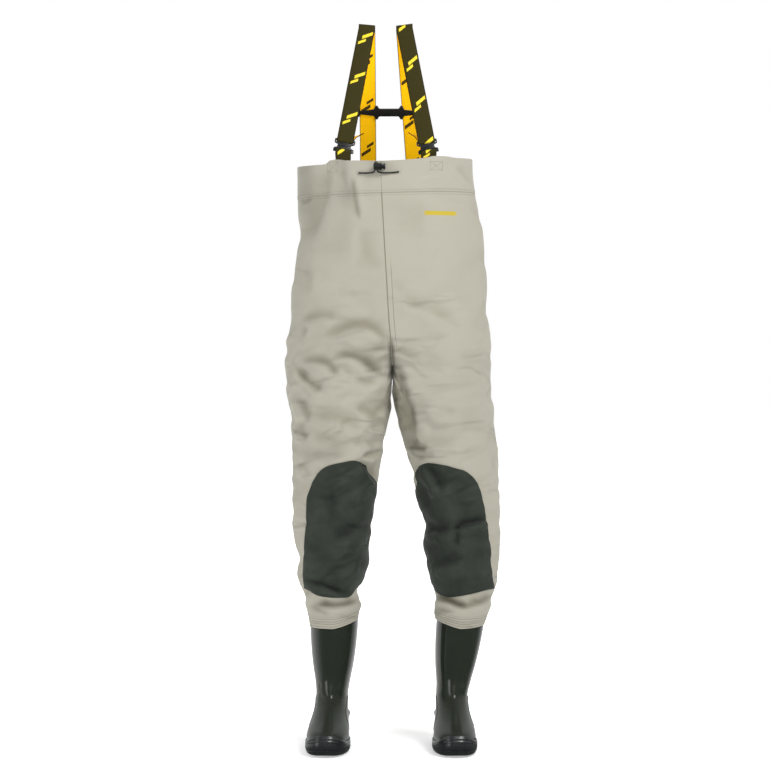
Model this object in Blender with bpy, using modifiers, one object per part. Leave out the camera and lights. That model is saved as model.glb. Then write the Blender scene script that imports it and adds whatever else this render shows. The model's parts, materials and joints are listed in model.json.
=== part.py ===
"""Chest waders with welded boots, standing empty as if worn.

X runs to the wearer's left, -Y is the front, Z is up and the soles stand on z = 0.
Every size comes from a 38 mm brace webbing that measures 16.5 px in the photograph,
so 2.3 mm a pixel. Tables are in millimetres, everything else is in metres.
"""

import math
from collections import namedtuple

import bmesh
import bpy
from mathutils import Matrix, Vector

MM = 0.001
RIGHT, LEFT = -1, 1
SIDES = (("right", RIGHT), ("left", LEFT))

# Shift that brings the middle of the whole part's outline over the origin.
STAND_SHIFT = Vector((-7, 35.5, 0)) * MM

GAP = 0.3 * MM

FABRIC_WALL = 1.0 * MM
BAND_WALL = 2.0 * MM
BAND_STEP = 1.0 * MM
BAND_SEAM_Z = 1256 * MM
RIM_Z = 1332 * MM
CROTCH_Z = 868 * MM
CROTCH_DIP = 18 * MM
RIM_TILT = 0.045
SECTION_POWER = 2.35
OUTER_STEPS = 16
INNER_STEPS = 5
INNER_SPREAD = math.radians(70)
INNER_START = math.pi / 2 - INNER_SPREAD / 2

PATCH_WALL = 1.2 * MM
PATCH_GAP = 0.35 * MM
PATCH_BACK_Y = 12 * MM

BOOT_WALL = 2.4 * MM
BOOT_STEPS = 26
GUARD_STEP = 0.9 * MM
FOREFOOT_BED = 14 * MM
HEEL_BED = 23 * MM
TOE_SPRING = 8 * MM
SPRING_START_Y = -140 * MM
TOE_Y = -213 * MM
HEEL_Y = 72 * MM
FOXING_WALL = 3.0 * MM
GROOVE_WIDTH = 6 * MM
GROOVE_DEPTH = 4.5 * MM
INSOLE_WALL = 4 * MM

WEBBING_WIDTH = 38 * MM
WEBBING_WALL = 2.0 * MM
FOLD_RADIUS = 9 * MM
LINK_Z = 1460 * MM
LINK_DEPTH = 8 * MM

BAR_HEIGHT = 4.5 * MM
BAR_DEPTH = 4 * MM
BASE_DEPTH = 5 * MM
BUCKLE_TOP_LENGTH = 14 * MM
BUCKLE_BASE_LENGTH = 15 * MM

CORD_WIDTH = 3.5 * MM
LOCK_CENTRE = Vector((-28, -136, 1313)) * MM
LOCK_RADIUS = 8 * MM
LOCK_LENGTH = 19 * MM
BUTTON_RADIUS = 5 * MM
BUTTON_TRAVEL = 3 * MM
LOCK_SIDES = 16

# Slot for both cords through the lock's barrel: how far from its middle, width, depth.
CORD_SLOT_X = -3.5 * MM
CORD_SLOT_WIDTH = 9.6 * MM
CORD_SLOT_DEPTH = 4.6 * MM

# Drawcord from its eyelet to under the lock: x, height against the lock, how far it lies on the bib.
CORD_RUNS = {
    RIGHT: (
        (-71, -13.5, 1.0), (-66, -13.7, 1.0), (-61, -13.9, 1.0), (-56, -14.0, 0.96), (-51.5, -14.0, 0.85),
        (-47.5, -13.9, 0.66), (-44, -13.8, 0.45), (-41.2, -13.6, 0.28), (-38.2, -12.8, 0.14),
        (-35.7, -11.0, 0.05), (-34.2, -8.7, 0.01),
    ),
    LEFT: (
        (20, -11.2, 1.0), (14, -12.0, 1.0), (8, -12.7, 1.0), (2, -13.2, 1.0), (-4, -13.6, 0.97),
        (-9, -13.8, 0.88), (-13, -13.9, 0.72), (-16.5, -13.9, 0.54), (-19.5, -13.8, 0.36),
        (-22.2, -13.5, 0.21), (-25, -12.7, 0.1), (-27.3, -11.0, 0.03), (-28.8, -8.7, 0.01),
    ),
}

# The cord inside the lock and its cut end above it: height against the lock.
CORD_IN_LOCK = (-5.4, -1.0, 3.5, 8.0, 11.0)

# Bib outline: height, the two side edges, front, back, depth of the middle cleft, middle seam.
TorsoRow = namedtuple("TorsoRow", "z right left front back cleft seam")
TORSO = (
    TorsoRow(868, -239, 232, -133, 148, 34, 5),
    TorsoRow(905, -239, 232, -138, 149, 14, 3),
    TorsoRow(975, -228, 225, -140, 142, 3, -3),
    TorsoRow(1042, -225, 223, -138, 134, 0, -7),
    TorsoRow(1111, -216, 218, -135, 130, 0, -11),
    TorsoRow(1180, -207, 211, -130, 128, 0, -15),
    TorsoRow(1256, -211, 196, -126, 127, 0, -19),
    TorsoRow(1332, -212, 189, -124, 126, 0, -21),
)

# Leg outline: height, outer and inner edge, front, back.
LegRow = namedtuple("LegRow", "z outer inner front back")
LEGS = {
    RIGHT: (
        LegRow(268, -186, -70.6, -73.2, 72.2),
        LegRow(290, -189, -69, -75, 74),
        LegRow(318, -194, -66, -79, 76),
        LegRow(352, -202, -68, -85, 80),
        LegRow(387, -211, -57, -92, 86),
        LegRow(421, -210, -50, -93, 87),
        LegRow(490, -220, -46, -98, 88),
        LegRow(560, -225, -37, -103, 93),
        LegRow(628, -225, -24, -107, 102),
        LegRow(697, -225, -13, -114, 115),
        LegRow(766, -230, 1, -122, 128),
        LegRow(800, -235, 2.5, -126, 136),
        LegRow(836, -238, 3, -130, 143),
        LegRow(868, -239, 3.5, -134, 148),
    ),
    LEFT: (
        LegRow(268, 217.4, 103, -72.8, 71.8),
        LegRow(290, 224, 102.5, -75, 74),
        LegRow(318, 232, 102, -79, 76),
        LegRow(352, 239, 99, -85, 80),
        LegRow(387, 247, 91, -92, 86),
        LegRow(421, 251, 85, -93, 87),
        LegRow(490, 253, 77, -98, 88),
        LegRow(560, 251, 63, -103, 93),
        LegRow(628, 248, 50, -107, 102),
        LegRow(697, 245, 31, -114, 115),
        LegRow(766, 237, 11.5, -122, 128),
        LegRow(800, 234, 8, -126, 136),
        LegRow(836, 232, 7, -130, 143),
        LegRow(868, 232, 6.5, -134, 148),
    ),
}

# Knee patch in the front view: outer edge at its foot, middle and spring of the arch,
# arch top, height of its two foot corners.
Patch = namedtuple("Patch", "foot middle spring crown inner z_foot_out z_foot_in z_middle z_spring z_crown")
PATCHES = {
    RIGHT: Patch(-196, -198, -190, -118, -12, 381, 342, 450, 592, 651),
    LEFT: Patch(237, 227, 213, 140, 40, 359, 339, 440, 580, 649),
}

# Boot slices from the sole up: height, heel end, toe end, half width at the rear,
# half width of the forefoot on the inner and outer side, roundness of the ends.
BootRow = namedtuple("BootRow", "z back front rear inner outer ends")
BOOT = (
    BootRow(14, 66.5, -203, 36, 47, 47, 0.72),
    BootRow(30, 68, -207, 38, 50, 50, 0.72),
    BootRow(42, 68.5, -204, 38, 49.5, 49.5, 0.72),
    BootRow(51, 69.5, -193, 38, 47, 48, 0.74),
    BootRow(58, 77, -178, 37.5, 45, 46, 0.78),
    BootRow(66, 76.5, -158, 37, 42, 43, 0.82),
    BootRow(73, 67, -141, 36, 40, 41, 0.86),
    BootRow(88, 65, -112, 35.5, 38, 38, 0.9),
    BootRow(104, 63, -89, 35.5, 36.5, 36.5, 0.95),
    BootRow(124, 61, -72, 36.5, 37, 37, 1.0),
    BootRow(150, 61, -65, 40.5, 40.5, 40.5, 1.0),
    BootRow(180, 63, -65, 46, 46, 46, 1.0),
    BootRow(220, 66, -67, 51, 51, 51, 1.0),
    BootRow(268, 69, -70, 54.5, 54.5, 54.5, 1.0),
    BootRow(315, 70, -71, 55.5, 55.5, 55.5, 1.0),
)

# Where each boot stands: ankle centre, toe-out turn, sideways lean of the shaft.
Stance = namedtuple("Stance", "ankle_x toe_out lean")
STANCES = {
    RIGHT: Stance(-132 * MM, math.radians(4), 0.022),
    LEFT: Stance(141 * MM, math.radians(2), 0.118),
}

# Sole side from the ground up: height, how far it stands out from the upper's widest line,
# share of the heel lift that it takes.
SoleRow = namedtuple("SoleRow", "z out lift")
SOLE_SIDE = (
    SoleRow(0, 0.2, 0.0),
    SoleRow(3, 2.6, 0.0),
    SoleRow(8, 3.0, 0.2),
    SoleRow(9, 1.6, 0.3),
    SoleRow(11, 1.6, 0.4),
    SoleRow(12, 3.6, 0.5),
    SoleRow(21, 3.5, 0.8),
)

# Top edge of the sole's rim from heel (0) to toe (1).
RimRow = namedtuple("RimRow", "along z")
RIM = (
    RimRow(0.0, 40),
    RimRow(0.2, 36),
    RimRow(0.5, 30),
    RimRow(0.75, 33),
    RimRow(0.9, 42),
    RimRow(1.0, 44),
)

# Tread grooves: middle of each groove along the foot.
HEEL_GROOVES = (22, 42)
FORE_GROOVES = (-74, -92, -110, -128, -146, -163)
ARCH_PROFILE = ((5, -2), (3, 7), (-22, 6.5), (-56, -0.5), (-56, -2))

# Braces: x and slope of the webbing at the back, the shoulder fold and the buckle.
Brace = namedtuple("Brace", "back_x fold_x fold_z buckle_x buckle_z tail_x tail_z")
BRACES = {
    RIGHT: Brace(-51, -53, 1652, -101, 1374, 30, 12),
    LEFT: Brace(57, 33, 1652, 82, 1373, -28, 16),
}


def smooth(low, high, value):
    """Ease from 0 at low to 1 at high."""
    t = min(max((value - low) / (high - low), 0.0), 1.0)
    return t * t * (3 - 2 * t)


def signed_power(value, power):
    return math.copysign(abs(value) ** power, value)


def row_value(rows, key, column, at):
    """Value of a column on a smooth curve through every row of a table sorted by its key."""
    keys = [getattr(row, key) for row in rows]
    values = [getattr(row, column) for row in rows]
    if at <= keys[0]:
        return values[0]
    if at >= keys[-1]:
        return values[-1]
    slopes = []
    for i in range(len(rows)):
        before = max(i - 1, 0)
        after = min(i + 1, len(rows) - 1)
        slopes.append((values[after] - values[before]) / (keys[after] - keys[before]))
    i = next(k for k in range(len(keys) - 1) if at <= keys[k + 1])
    span = keys[i + 1] - keys[i]
    t = (at - keys[i]) / span
    start = (1 + 2 * t) * (1 - t) ** 2 * values[i] + t * (1 - t) ** 2 * span * slopes[i]
    end = t * t * (3 - 2 * t) * values[i + 1] + t * t * (t - 1) * span * slopes[i + 1]
    return start + end


# Scene set-up


def clear_scene():
    for thing in list(bpy.data.objects):
        bpy.data.objects.remove(thing, do_unlink=True)
    for mesh in list(bpy.data.meshes):
        bpy.data.meshes.remove(mesh)


def new_collection(name):
    collection = bpy.data.collections.new(name)
    bpy.context.scene.collection.children.link(collection)
    return collection


def new_material(name, colour, roughness):
    material = bpy.data.materials.new(name)
    material.use_nodes = True
    shader = material.node_tree.nodes["Principled BSDF"]
    shader.inputs["Base Color"].default_value = (*colour, 1.0)
    shader.inputs["Roughness"].default_value = roughness
    return material


def place(thing, collection, material, root):
    """Put a finished sub-part in the part's collection with its own material."""
    collection.objects.link(thing)
    thing.parent = root
    if thing.data.materials:
        thing.data.materials[0] = material
    else:
        thing.data.materials.append(material)
    return thing


def mesh_object(name, bm):
    mesh = bpy.data.meshes.new(name)
    bm.normal_update()
    bm.to_mesh(mesh)
    bm.free()
    return bpy.data.objects.new(name, mesh)


def make_cutter(thing, collection):
    collection.objects.link(thing)
    thing.hide_render = True
    thing.display_type = "WIRE"
    return thing


def add_solidify(thing, wall, offset):
    shell = thing.modifiers.new("wall", "SOLIDIFY")
    shell.thickness = wall
    shell.offset = offset
    shell.use_even_offset = True
    shell.use_quality_normals = True
    return shell


def add_boolean(thing, cutter, operation):
    cut = thing.modifiers.new(operation.lower(), "BOOLEAN")
    cut.operation = operation
    cut.solver = "EXACT"
    cut.object = cutter


def bridge(bm, upper, lower, flip=False):
    """Faces between two rings of the same length, upper ring clockwise seen from above."""
    count = len(upper)
    for k in range(count):
        after = (k + 1) % count
        quad = [upper[k], upper[after], lower[after], lower[k]]
        if flip:
            quad.reverse()
        bm.faces.new(quad)


def cap_in_strips(bm, ring):
    """Close a ring whose points k and -k lie at the same place along its length."""
    half = len(ring) // 2
    for k in range(half):
        left, right = ring[k], ring[-k % len(ring)]
        next_left, next_right = ring[k + 1], ring[-(k + 1) % len(ring)]
        corners = [left, next_left, next_right, right]
        bm.faces.new(list(dict.fromkeys(corners)))


def prism(name, outline, plane, low, high):
    """Solid between two copies of an outline of (across, up) points.

    The outline lies in the XZ plane and runs along Y, or in the YZ plane and runs along X.
    """
    bm = bmesh.new()

    def corner(point, depth):
        if plane == "XZ":
            return bm.verts.new((point[0], depth, point[1]))
        return bm.verts.new((depth, point[0], point[1]))

    near = [corner(point, low) for point in outline]
    far = [corner(point, high) for point in outline]
    bm.faces.new(near)
    bm.faces.new(list(reversed(far)))
    bridge(bm, far, near)
    bmesh.ops.recalc_face_normals(bm, faces=bm.faces)
    return mesh_object(name, bm)


# Body


def torso_point(z, side, share):
    """Point of the bib's outer face, share 0 at the front seam to 1 at the back seam."""
    at = z / MM
    angle = math.pi * share
    power = 2 / SECTION_POWER
    seam = row_value(TORSO, "z", "seam", at)
    edge = row_value(TORSO, "z", "right" if side == RIGHT else "left", at)
    front = row_value(TORSO, "z", "front", at)
    back = row_value(TORSO, "z", "back", at)
    cleft = row_value(TORSO, "z", "cleft", at)
    x = seam + (edge - seam) * abs(math.sin(angle)) ** power
    y = (front + back) / 2 - (back - front) / 2 * signed_power(math.cos(angle), power)
    y += cleft * math.exp(-((share / 0.11) ** 2))
    y -= cleft * math.exp(-(((1 - share) / 0.11) ** 2))
    return Vector((x, y, at)) * MM


def leg_angle(step):
    """Turn round a leg of one ring point: 0 at the front, a quarter turn at the outer side."""
    open_turn = 2 * math.pi - INNER_SPREAD
    if step <= OUTER_STEPS:
        return open_turn * step / OUTER_STEPS - INNER_START
    return open_turn + INNER_SPREAD * (step - OUTER_STEPS) / INNER_STEPS - INNER_START


def leg_surface(side, z, angle):
    """Point of a leg's outer face at a height and a turn round the leg."""
    at = z / MM
    rows = LEGS[side]
    outer = row_value(rows, "z", "outer", at)
    inner = row_value(rows, "z", "inner", at)
    front = row_value(rows, "z", "front", at)
    back = row_value(rows, "z", "back", at)
    x = (outer + inner) / 2 + (outer - inner) / 2 * math.sin(angle)
    y = (front + back) / 2 - (back - front) / 2 * math.cos(angle)
    return Vector((x, y, at)) * MM


def leg_point(side, z, step):
    """Ring point of a leg, which turns from half a bib at the crotch into a round leg."""
    round_point = leg_surface(side, z, leg_angle(step))
    blend = smooth(CROTCH_Z, CROTCH_Z - 0.105, z)
    if step <= OUTER_STEPS:
        half_point = torso_point(CROTCH_Z, side, step / OUTER_STEPS)
        dip = 0.0
    else:
        share = (step - OUTER_STEPS) / INNER_STEPS
        back = torso_point(CROTCH_Z, side, 1.0)
        front = torso_point(CROTCH_Z, side, 0.0)
        half_point = back.lerp(front, share)
        dip = CROTCH_DIP * math.sin(math.pi * share) * (1 - blend)
    point = half_point.lerp(round_point, blend)
    return Vector((point.x, point.y, z - dip))


def raised_rim(point):
    """The bib's top edge climbs to the wearer's left."""
    lift = RIM_TILT * point.x * smooth(1.12, RIM_Z, point.z)
    return Vector((point.x, point.y, point.z + lift))


def stepped_band(point, step):
    """Stand a point of the bib out by the thickness of the hemmed band."""
    outward = Vector((point.x, point.y, 0)).normalized()
    return point + outward * step


TORSO_LEVELS = (905, 950, 1000, 1055, 1110, 1165, 1215, 1256, 1258, 1295, 1332)
LEG_LEVELS = (846, 818, 788, 755, 718, 672, 625, 578, 531, 484, 437, 400, 368, 336, 300, 268)


def torso_ring(z, step):
    right = [torso_point(z, RIGHT, k / OUTER_STEPS) for k in range(OUTER_STEPS + 1)]
    left = [torso_point(z, LEFT, k / OUTER_STEPS) for k in range(OUTER_STEPS - 1, 0, -1)]
    return [raised_rim(stepped_band(point, step)) for point in right + left]


def body_surface(bm):
    """Outer face of the bib and both legs, with a group of the vertices in the chest band."""
    crotch = [bm.verts.new(point) for point in torso_ring(CROTCH_Z, 0)]
    below = crotch
    band = []
    for level in TORSO_LEVELS:
        in_band = level * MM > BAND_SEAM_Z
        ring = [bm.verts.new(p) for p in torso_ring(level * MM, BAND_STEP if in_band else 0)]
        bridge(bm, ring, below)
        if in_band:
            band += ring
        below = ring
    chain = []
    for step in range(OUTER_STEPS + 1, OUTER_STEPS + INNER_STEPS):
        chain.append(bm.verts.new(leg_point(RIGHT, CROTCH_Z, step)))
    front_to_back = {
        RIGHT: crotch[: OUTER_STEPS + 1],
        LEFT: [crotch[0]] + crotch[: OUTER_STEPS - 1 : -1],
    }
    for side in (RIGHT, LEFT):
        above = front_to_back[side] + chain
        for level in LEG_LEVELS:
            points = [leg_point(side, level * MM, step) for step in range(OUTER_STEPS + INNER_STEPS)]
            ring = [bm.verts.new(point) for point in points]
            bridge(bm, above, ring, flip=side == LEFT)
            above = ring
    return band


def build_body():
    bm = bmesh.new()
    band = body_surface(bm)
    bm.verts.index_update()
    band_indices = [vertex.index for vertex in band]
    body = mesh_object("body", bm)
    group = body.vertex_groups.new(name="wall")
    group.add(range(len(body.data.vertices)), FABRIC_WALL / BAND_WALL, "REPLACE")
    group.add(band_indices, 1.0, "REPLACE")
    shell = add_solidify(body, BAND_WALL, -1)
    shell.vertex_group = "wall"
    return body


def build_patch(name, side, cutters):
    """Knee patch: the sleeve between two offsets of the leg, cut to the patch's outline."""
    sizes = PATCHES[side]
    levels = [z for z in LEG_LEVELS if 300 <= z <= 672]
    bm = bmesh.new()
    above = None
    for level in levels:
        ring = [bm.verts.new(leg_point(side, level * MM, k)) for k in range(OUTER_STEPS + INNER_STEPS)]
        if above:
            bridge(bm, above, ring, flip=side == LEFT)
        above = ring
    bm.normal_update()
    for vertex in bm.verts:
        vertex.co += vertex.normal * PATCH_GAP
    sleeve = mesh_object(name, bm)
    add_solidify(sleeve, PATCH_WALL, 1)

    outline = [(sizes.inner, sizes.z_foot_in), (sizes.crown, (sizes.z_foot_in * 2 + sizes.z_foot_out) / 3)]
    outline += [(sizes.foot, sizes.z_foot_out), (sizes.middle, sizes.z_middle)]
    for k in range(9):
        turn = math.pi / 2 * k / 8
        x = sizes.crown + (sizes.spring - sizes.crown) * math.cos(turn)
        z = sizes.z_spring + (sizes.z_crown - sizes.z_spring) * math.sin(turn)
        outline.append((x, z))
    for k in range(1, 6):
        turn = math.pi / 2 * k / 5
        x = sizes.crown + (sizes.inner - sizes.crown) * math.sin(turn)
        z = sizes.z_spring + (sizes.z_crown - sizes.z_spring) * math.cos(turn)
        outline.append((x, z))
    outline = [(x * MM, z * MM) for x, z in outline]
    cutter = make_cutter(prism(name + "_outline", outline, "XZ", -0.25, PATCH_BACK_Y), cutters)
    add_boolean(sleeve, cutter, "INTERSECT")
    return sleeve


# Boots


def heel_lift(y):
    return (HEEL_BED - FOREFOOT_BED) * smooth(-90 * MM, 5 * MM, y)


def toe_spring(y):
    share = max((SPRING_START_Y - y) / (SPRING_START_Y - TOE_Y), 0.0)
    return TOE_SPRING * share * share


def boot_outline(z):
    """Flat outline of the upper at a height, from the heel round by +X to the toe and back."""
    at = z / MM
    back, front, rear, inner, outer, ends = (
        row_value(BOOT, "z", column, at) for column in ("back", "front", "rear", "inner", "outer", "ends")
    )
    points = []
    for k in range(BOOT_STEPS):
        turn = 2 * math.pi * k / BOOT_STEPS
        along = (1 - math.cos(turn)) / 2
        fore = inner if math.sin(turn) >= 0 else outer
        half = rear + (fore - rear) * smooth(0.3, 0.72, along)
        waist = 0.9 if at < 45 else 1.0
        half *= 1 - (1 - waist) * math.exp(-(((along - 0.42) / 0.14) ** 2))
        x = half * signed_power(math.sin(turn), ends)
        points.append(Vector((x, back + (front - back) * along, 0)) * MM)
    return points


def offset_outline(points, distance):
    """Move an outline outwards along the mean normal of its edges."""
    moved = []
    count = len(points)
    for k in range(count):
        edge = points[(k + 1) % count] - points[k - 1]
        outward = Vector((-edge.y, edge.x, 0)).normalized()
        moved.append(points[k] + outward * distance)
    return moved


def guard_height(point, z):
    """Raised guard over the heel and the sides of the foot, 0 to 1."""
    front_edge = -100 * MM + 0.62 * max(z - 30 * MM, 0)
    behind = smooth(front_edge - 6 * MM, front_edge + 6 * MM, point.y)
    below = smooth(118 * MM, 104 * MM, z)
    return behind * below


def stand(point, side):
    """From the boot's own frame to the floor: lean of the shaft, side, toe-out and place."""
    stance = STANCES[side]
    lean = stance.lean * max(point.z - 105 * MM, 0) * smooth(105 * MM, 140 * MM, point.z)
    turned = Matrix.Rotation(side * stance.toe_out, 3, "Z") @ Vector((-side * point.x, point.y, point.z))
    return turned + Vector((stance.ankle_x + lean, 0, 0))


def upper_ring(z, out=0.0):
    """Points of the upper's outer face at a slice, lifted by the heel and the toe spring."""
    outline = boot_outline(z)
    steps = [out + GUARD_STEP * guard_height(point, z) for point in outline]
    ring = []
    for k, step in enumerate(steps):
        point = offset_outline(outline, step)[k]
        lift = (heel_lift(point.y) + toe_spring(point.y)) * smooth(100 * MM, FOREFOOT_BED, z)
        ring.append(Vector((point.x, point.y, z + lift)))
    return ring


BOOT_LEVELS = (315, 268, 220, 180, 150, 124, 104, 88, 73, 66, 58, 51, 42, 30, 14.6)


def boot_ring(bm, points, side):
    return [bm.verts.new(stand(point, side)) for point in points]


def build_upper(name, side):
    bm = bmesh.new()
    above = None
    for level in BOOT_LEVELS:
        ring = boot_ring(bm, upper_ring(level * MM), side)
        if above:
            bridge(bm, above, ring, flip=side == LEFT)
        above = ring
    upper = mesh_object(name, bm)
    add_solidify(upper, BOOT_WALL, -1)
    return upper


def sole_ring(row):
    """One ring of the sole's side."""
    widest = boot_outline(30 * MM)
    ring = []
    for point in offset_outline(widest, row.out * MM):
        z = row.z * MM + toe_spring(point.y) + row.lift * heel_lift(point.y)
        ring.append(Vector((point.x, point.y, z)))
    return ring


def rim_ring(out, highest=1.0, below=0.0):
    """Ring on the upper's own face at the rim's top edge, or lower where a limit is lower."""
    ring = []
    for k in range(BOOT_STEPS):
        along = (1 - math.cos(2 * math.pi * k / BOOT_STEPS)) / 2
        z = min(row_value(RIM, "along", "z", along) * MM - below, highest)
        ring.append(upper_ring(z, out)[k])
    return ring


def build_sole(name, side, cutters):
    """Outsole: a cup round the foot of the upper, with arch, lugs and toe bumper."""
    bm = bmesh.new()
    rings = [sole_ring(row) for row in SOLE_SIDE]
    rings.append(rim_ring(GAP + FOXING_WALL))
    rings.append(rim_ring(GAP))
    rings.append(rim_ring(GAP, 42 * MM, 0.5 * MM))
    rings.append(rim_ring(GAP, 30 * MM, 1.0 * MM))
    rings.append(upper_ring(14.3 * MM, GAP))
    made = [boot_ring(bm, points, side) for points in rings]
    for low, high in zip(made, made[1:]):
        bridge(bm, high, low, flip=side == LEFT)
    cap_in_strips(bm, made[0])
    cap_in_strips(bm, made[-1])
    bmesh.ops.recalc_face_normals(bm, faces=bm.faces)
    sole = mesh_object(name, bm)

    tread = bmesh.new()
    for y in HEEL_GROOVES + FORE_GROOVES:
        size = Vector((0.14, GROOVE_WIDTH, GROOVE_DEPTH * 2))
        z = toe_spring(y * MM)
        place_at = Matrix.Translation((0, y * MM, z)) @ Matrix.Diagonal((*size, 1))
        bmesh.ops.create_cube(tread, size=1, matrix=place_at)
    for vertex in tread.verts:
        vertex.co = stand(vertex.co, side)
    grooves = make_cutter(mesh_object(name + "_grooves", tread), cutters)
    arch = prism(name + "_arch", [(y * MM, z * MM) for y, z in ARCH_PROFILE], "YZ", -0.08, 0.08)
    for vertex in arch.data.vertices:
        vertex.co = stand(vertex.co, side)
    if side == LEFT:
        arch.data.flip_normals()
        grooves.data.flip_normals()
    add_boolean(sole, make_cutter(arch, cutters), "DIFFERENCE")
    add_boolean(sole, grooves, "DIFFERENCE")
    return sole


def build_insole(name, side):
    bm = bmesh.new()
    inset = -BOOT_WALL - GAP - 0.5 * MM
    low = [point + Vector((0, 0, GAP)) for point in upper_ring(14.3 * MM, inset)]
    high = [point + Vector((0, 0, INSOLE_WALL)) for point in low]
    lower, upper = boot_ring(bm, low, side), boot_ring(bm, high, side)
    bridge(bm, upper, lower, flip=side == LEFT)
    cap_in_strips(bm, lower)
    cap_in_strips(bm, upper)
    bmesh.ops.recalc_face_normals(bm, faces=bm.faces)
    return mesh_object(name, bm)


# Braces, link, buckles and loops


def bib_y(x, z, front):
    """Y of the bib's outer face at an X, on its front or back."""
    seam = row_value(TORSO, "z", "seam", z / MM) * MM
    side = RIGHT if x < seam else LEFT
    low, high = (0.0, 0.5) if front else (1.0, 0.5)
    for _ in range(30):
        middle = (low + high) / 2
        if abs(torso_point(z, side, middle).x - seam) < abs(x - seam):
            low = middle
        else:
            high = middle
    return torso_point(z, side, low).y


def bib_across(x, z, front):
    """Level direction along the bib's face at an X."""
    reach = 15 * MM
    rise = bib_y(x + reach, z, front) - bib_y(x - reach, z, front)
    return Vector((2 * reach, rise, 0)).normalized()


def ribbon(name, stations, width, wall):
    """Flat band through (centre, width direction) stations."""
    bm = bmesh.new()
    previous = None
    for centre, across in stations:
        across = across.normalized() * width / 2
        pair = (bm.verts.new(centre - across), bm.verts.new(centre + across))
        if previous:
            bm.faces.new((previous[0], previous[1], pair[1], pair[0]))
        previous = pair
    band = mesh_object(name, bm)
    add_solidify(band, wall, 0)
    return band


class BraceLine:
    """The run of one brace: its key points and the axes of its buckle."""

    def __init__(self, side):
        sizes = BRACES[side]
        self.side = side
        self.sizes = sizes
        self.back_x = sizes.back_x * MM
        wall_y = bib_y(self.back_x, RIM_Z, front=False)
        self.sewn = Vector((self.back_x, wall_y - BAND_WALL - 2.2 * MM, RIM_Z - 70 * MM))
        self.leaves = Vector((self.back_x, wall_y - BAND_WALL - 3.2 * MM, RIM_Z - 4 * MM))
        self.fold = Vector((sizes.fold_x * MM, 0, sizes.fold_z * MM - FOLD_RADIUS))
        rim_y = bib_y((sizes.buckle_x + side * 6) * MM, RIM_Z, front=True)
        self.bar = Vector((sizes.buckle_x * MM, rim_y + 9 * MM, sizes.buckle_z * MM))
        self.down = (self.bar - self.fold).normalized()
        slope = (self.fold.x - self.bar.x) / (self.fold.z - self.bar.z)
        across = Vector((1, 0, -slope))
        self.across = (across - self.down * across.dot(self.down)).normalized()
        self.front = self.down.cross(self.across).normalized()
        if self.front.y > 0:
            self.front.negate()

    def back_across(self):
        slope = (self.fold.x - self.back_x) / (self.fold.z - self.leaves.z)
        return Vector((1, 0, -slope)).normalized()

    def back_point(self, z):
        """Middle of the brace's rear run at a height."""
        start = self.leaves + Vector((0, 0, 12 * MM))
        end = self.fold + Vector((0, FOLD_RADIUS, 0))
        return start.lerp(end, (z - start.z) / (end.z - start.z))

    def frame(self):
        """Buckle frame: X across, Y away from the viewer's side, Z up the brace, at its top bar."""
        axes = Matrix((self.across, -self.front, -self.down)).transposed().to_4x4()
        return Matrix.Translation(self.bar) @ axes


def build_brace(name, side):
    line = BraceLine(side)
    level = bib_across(line.back_x, RIM_Z, front=False)
    rear = line.back_across()
    stations = [(line.sewn, level), (line.leaves, level)]
    stations.append((line.back_point(line.leaves.z + 14 * MM), level.lerp(rear, 0.5)))
    top = line.fold.z
    for share in (0.1, 0.25, 0.45, 0.65, 0.85, 0.97):
        stations.append((line.back_point(line.leaves.z + (top - line.leaves.z) * share), rear))
    front_start = line.fold + Vector((0, -FOLD_RADIUS, 0))
    for k in range(7):
        turn = math.pi * k / 6
        arc = Vector((0, math.cos(turn), math.sin(turn))) * FOLD_RADIUS
        stations.append((line.fold + arc, rear.lerp(line.across, k / 6)))
    wrap = BAR_DEPTH / 2 + GAP + WEBBING_WALL / 2
    at_bar = line.bar + line.front * wrap
    for share in (0.06, 0.25, 0.5, 0.75, 0.94):
        stations.append((front_start.lerp(at_bar, share), line.across))
    under = line.down * (BAR_HEIGHT / 2 + GAP)
    stations.append((at_bar, line.across))
    for k in range(7):
        turn = math.pi * k / 6
        arc = line.front * math.cos(turn) * wrap + line.down * math.sin(turn) * (WEBBING_WALL + GAP)
        stations.append((line.bar + under + arc, line.across))
    behind = line.bar - line.front * (wrap + 0.4 * MM)
    twist = Vector((0.86, -0.25 * side, 0.3 * -side)).normalized()
    stations.append((behind - line.down * 4 * MM, line.across))
    tail_x, tail_z = line.sizes.tail_x, line.sizes.tail_z
    for x, y, z, turn in ((0.2, 8, 0.7, 0.4), (0.6, 20, 1.0, 0.8), (1.0, 33, 1.3, 1.0)):
        step = Vector((x * tail_x, y, z * tail_z)) * MM
        stations.append((behind + step, line.across.lerp(twist, turn)))
    return ribbon(name, stations, WEBBING_WIDTH, WEBBING_WALL)


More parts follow.
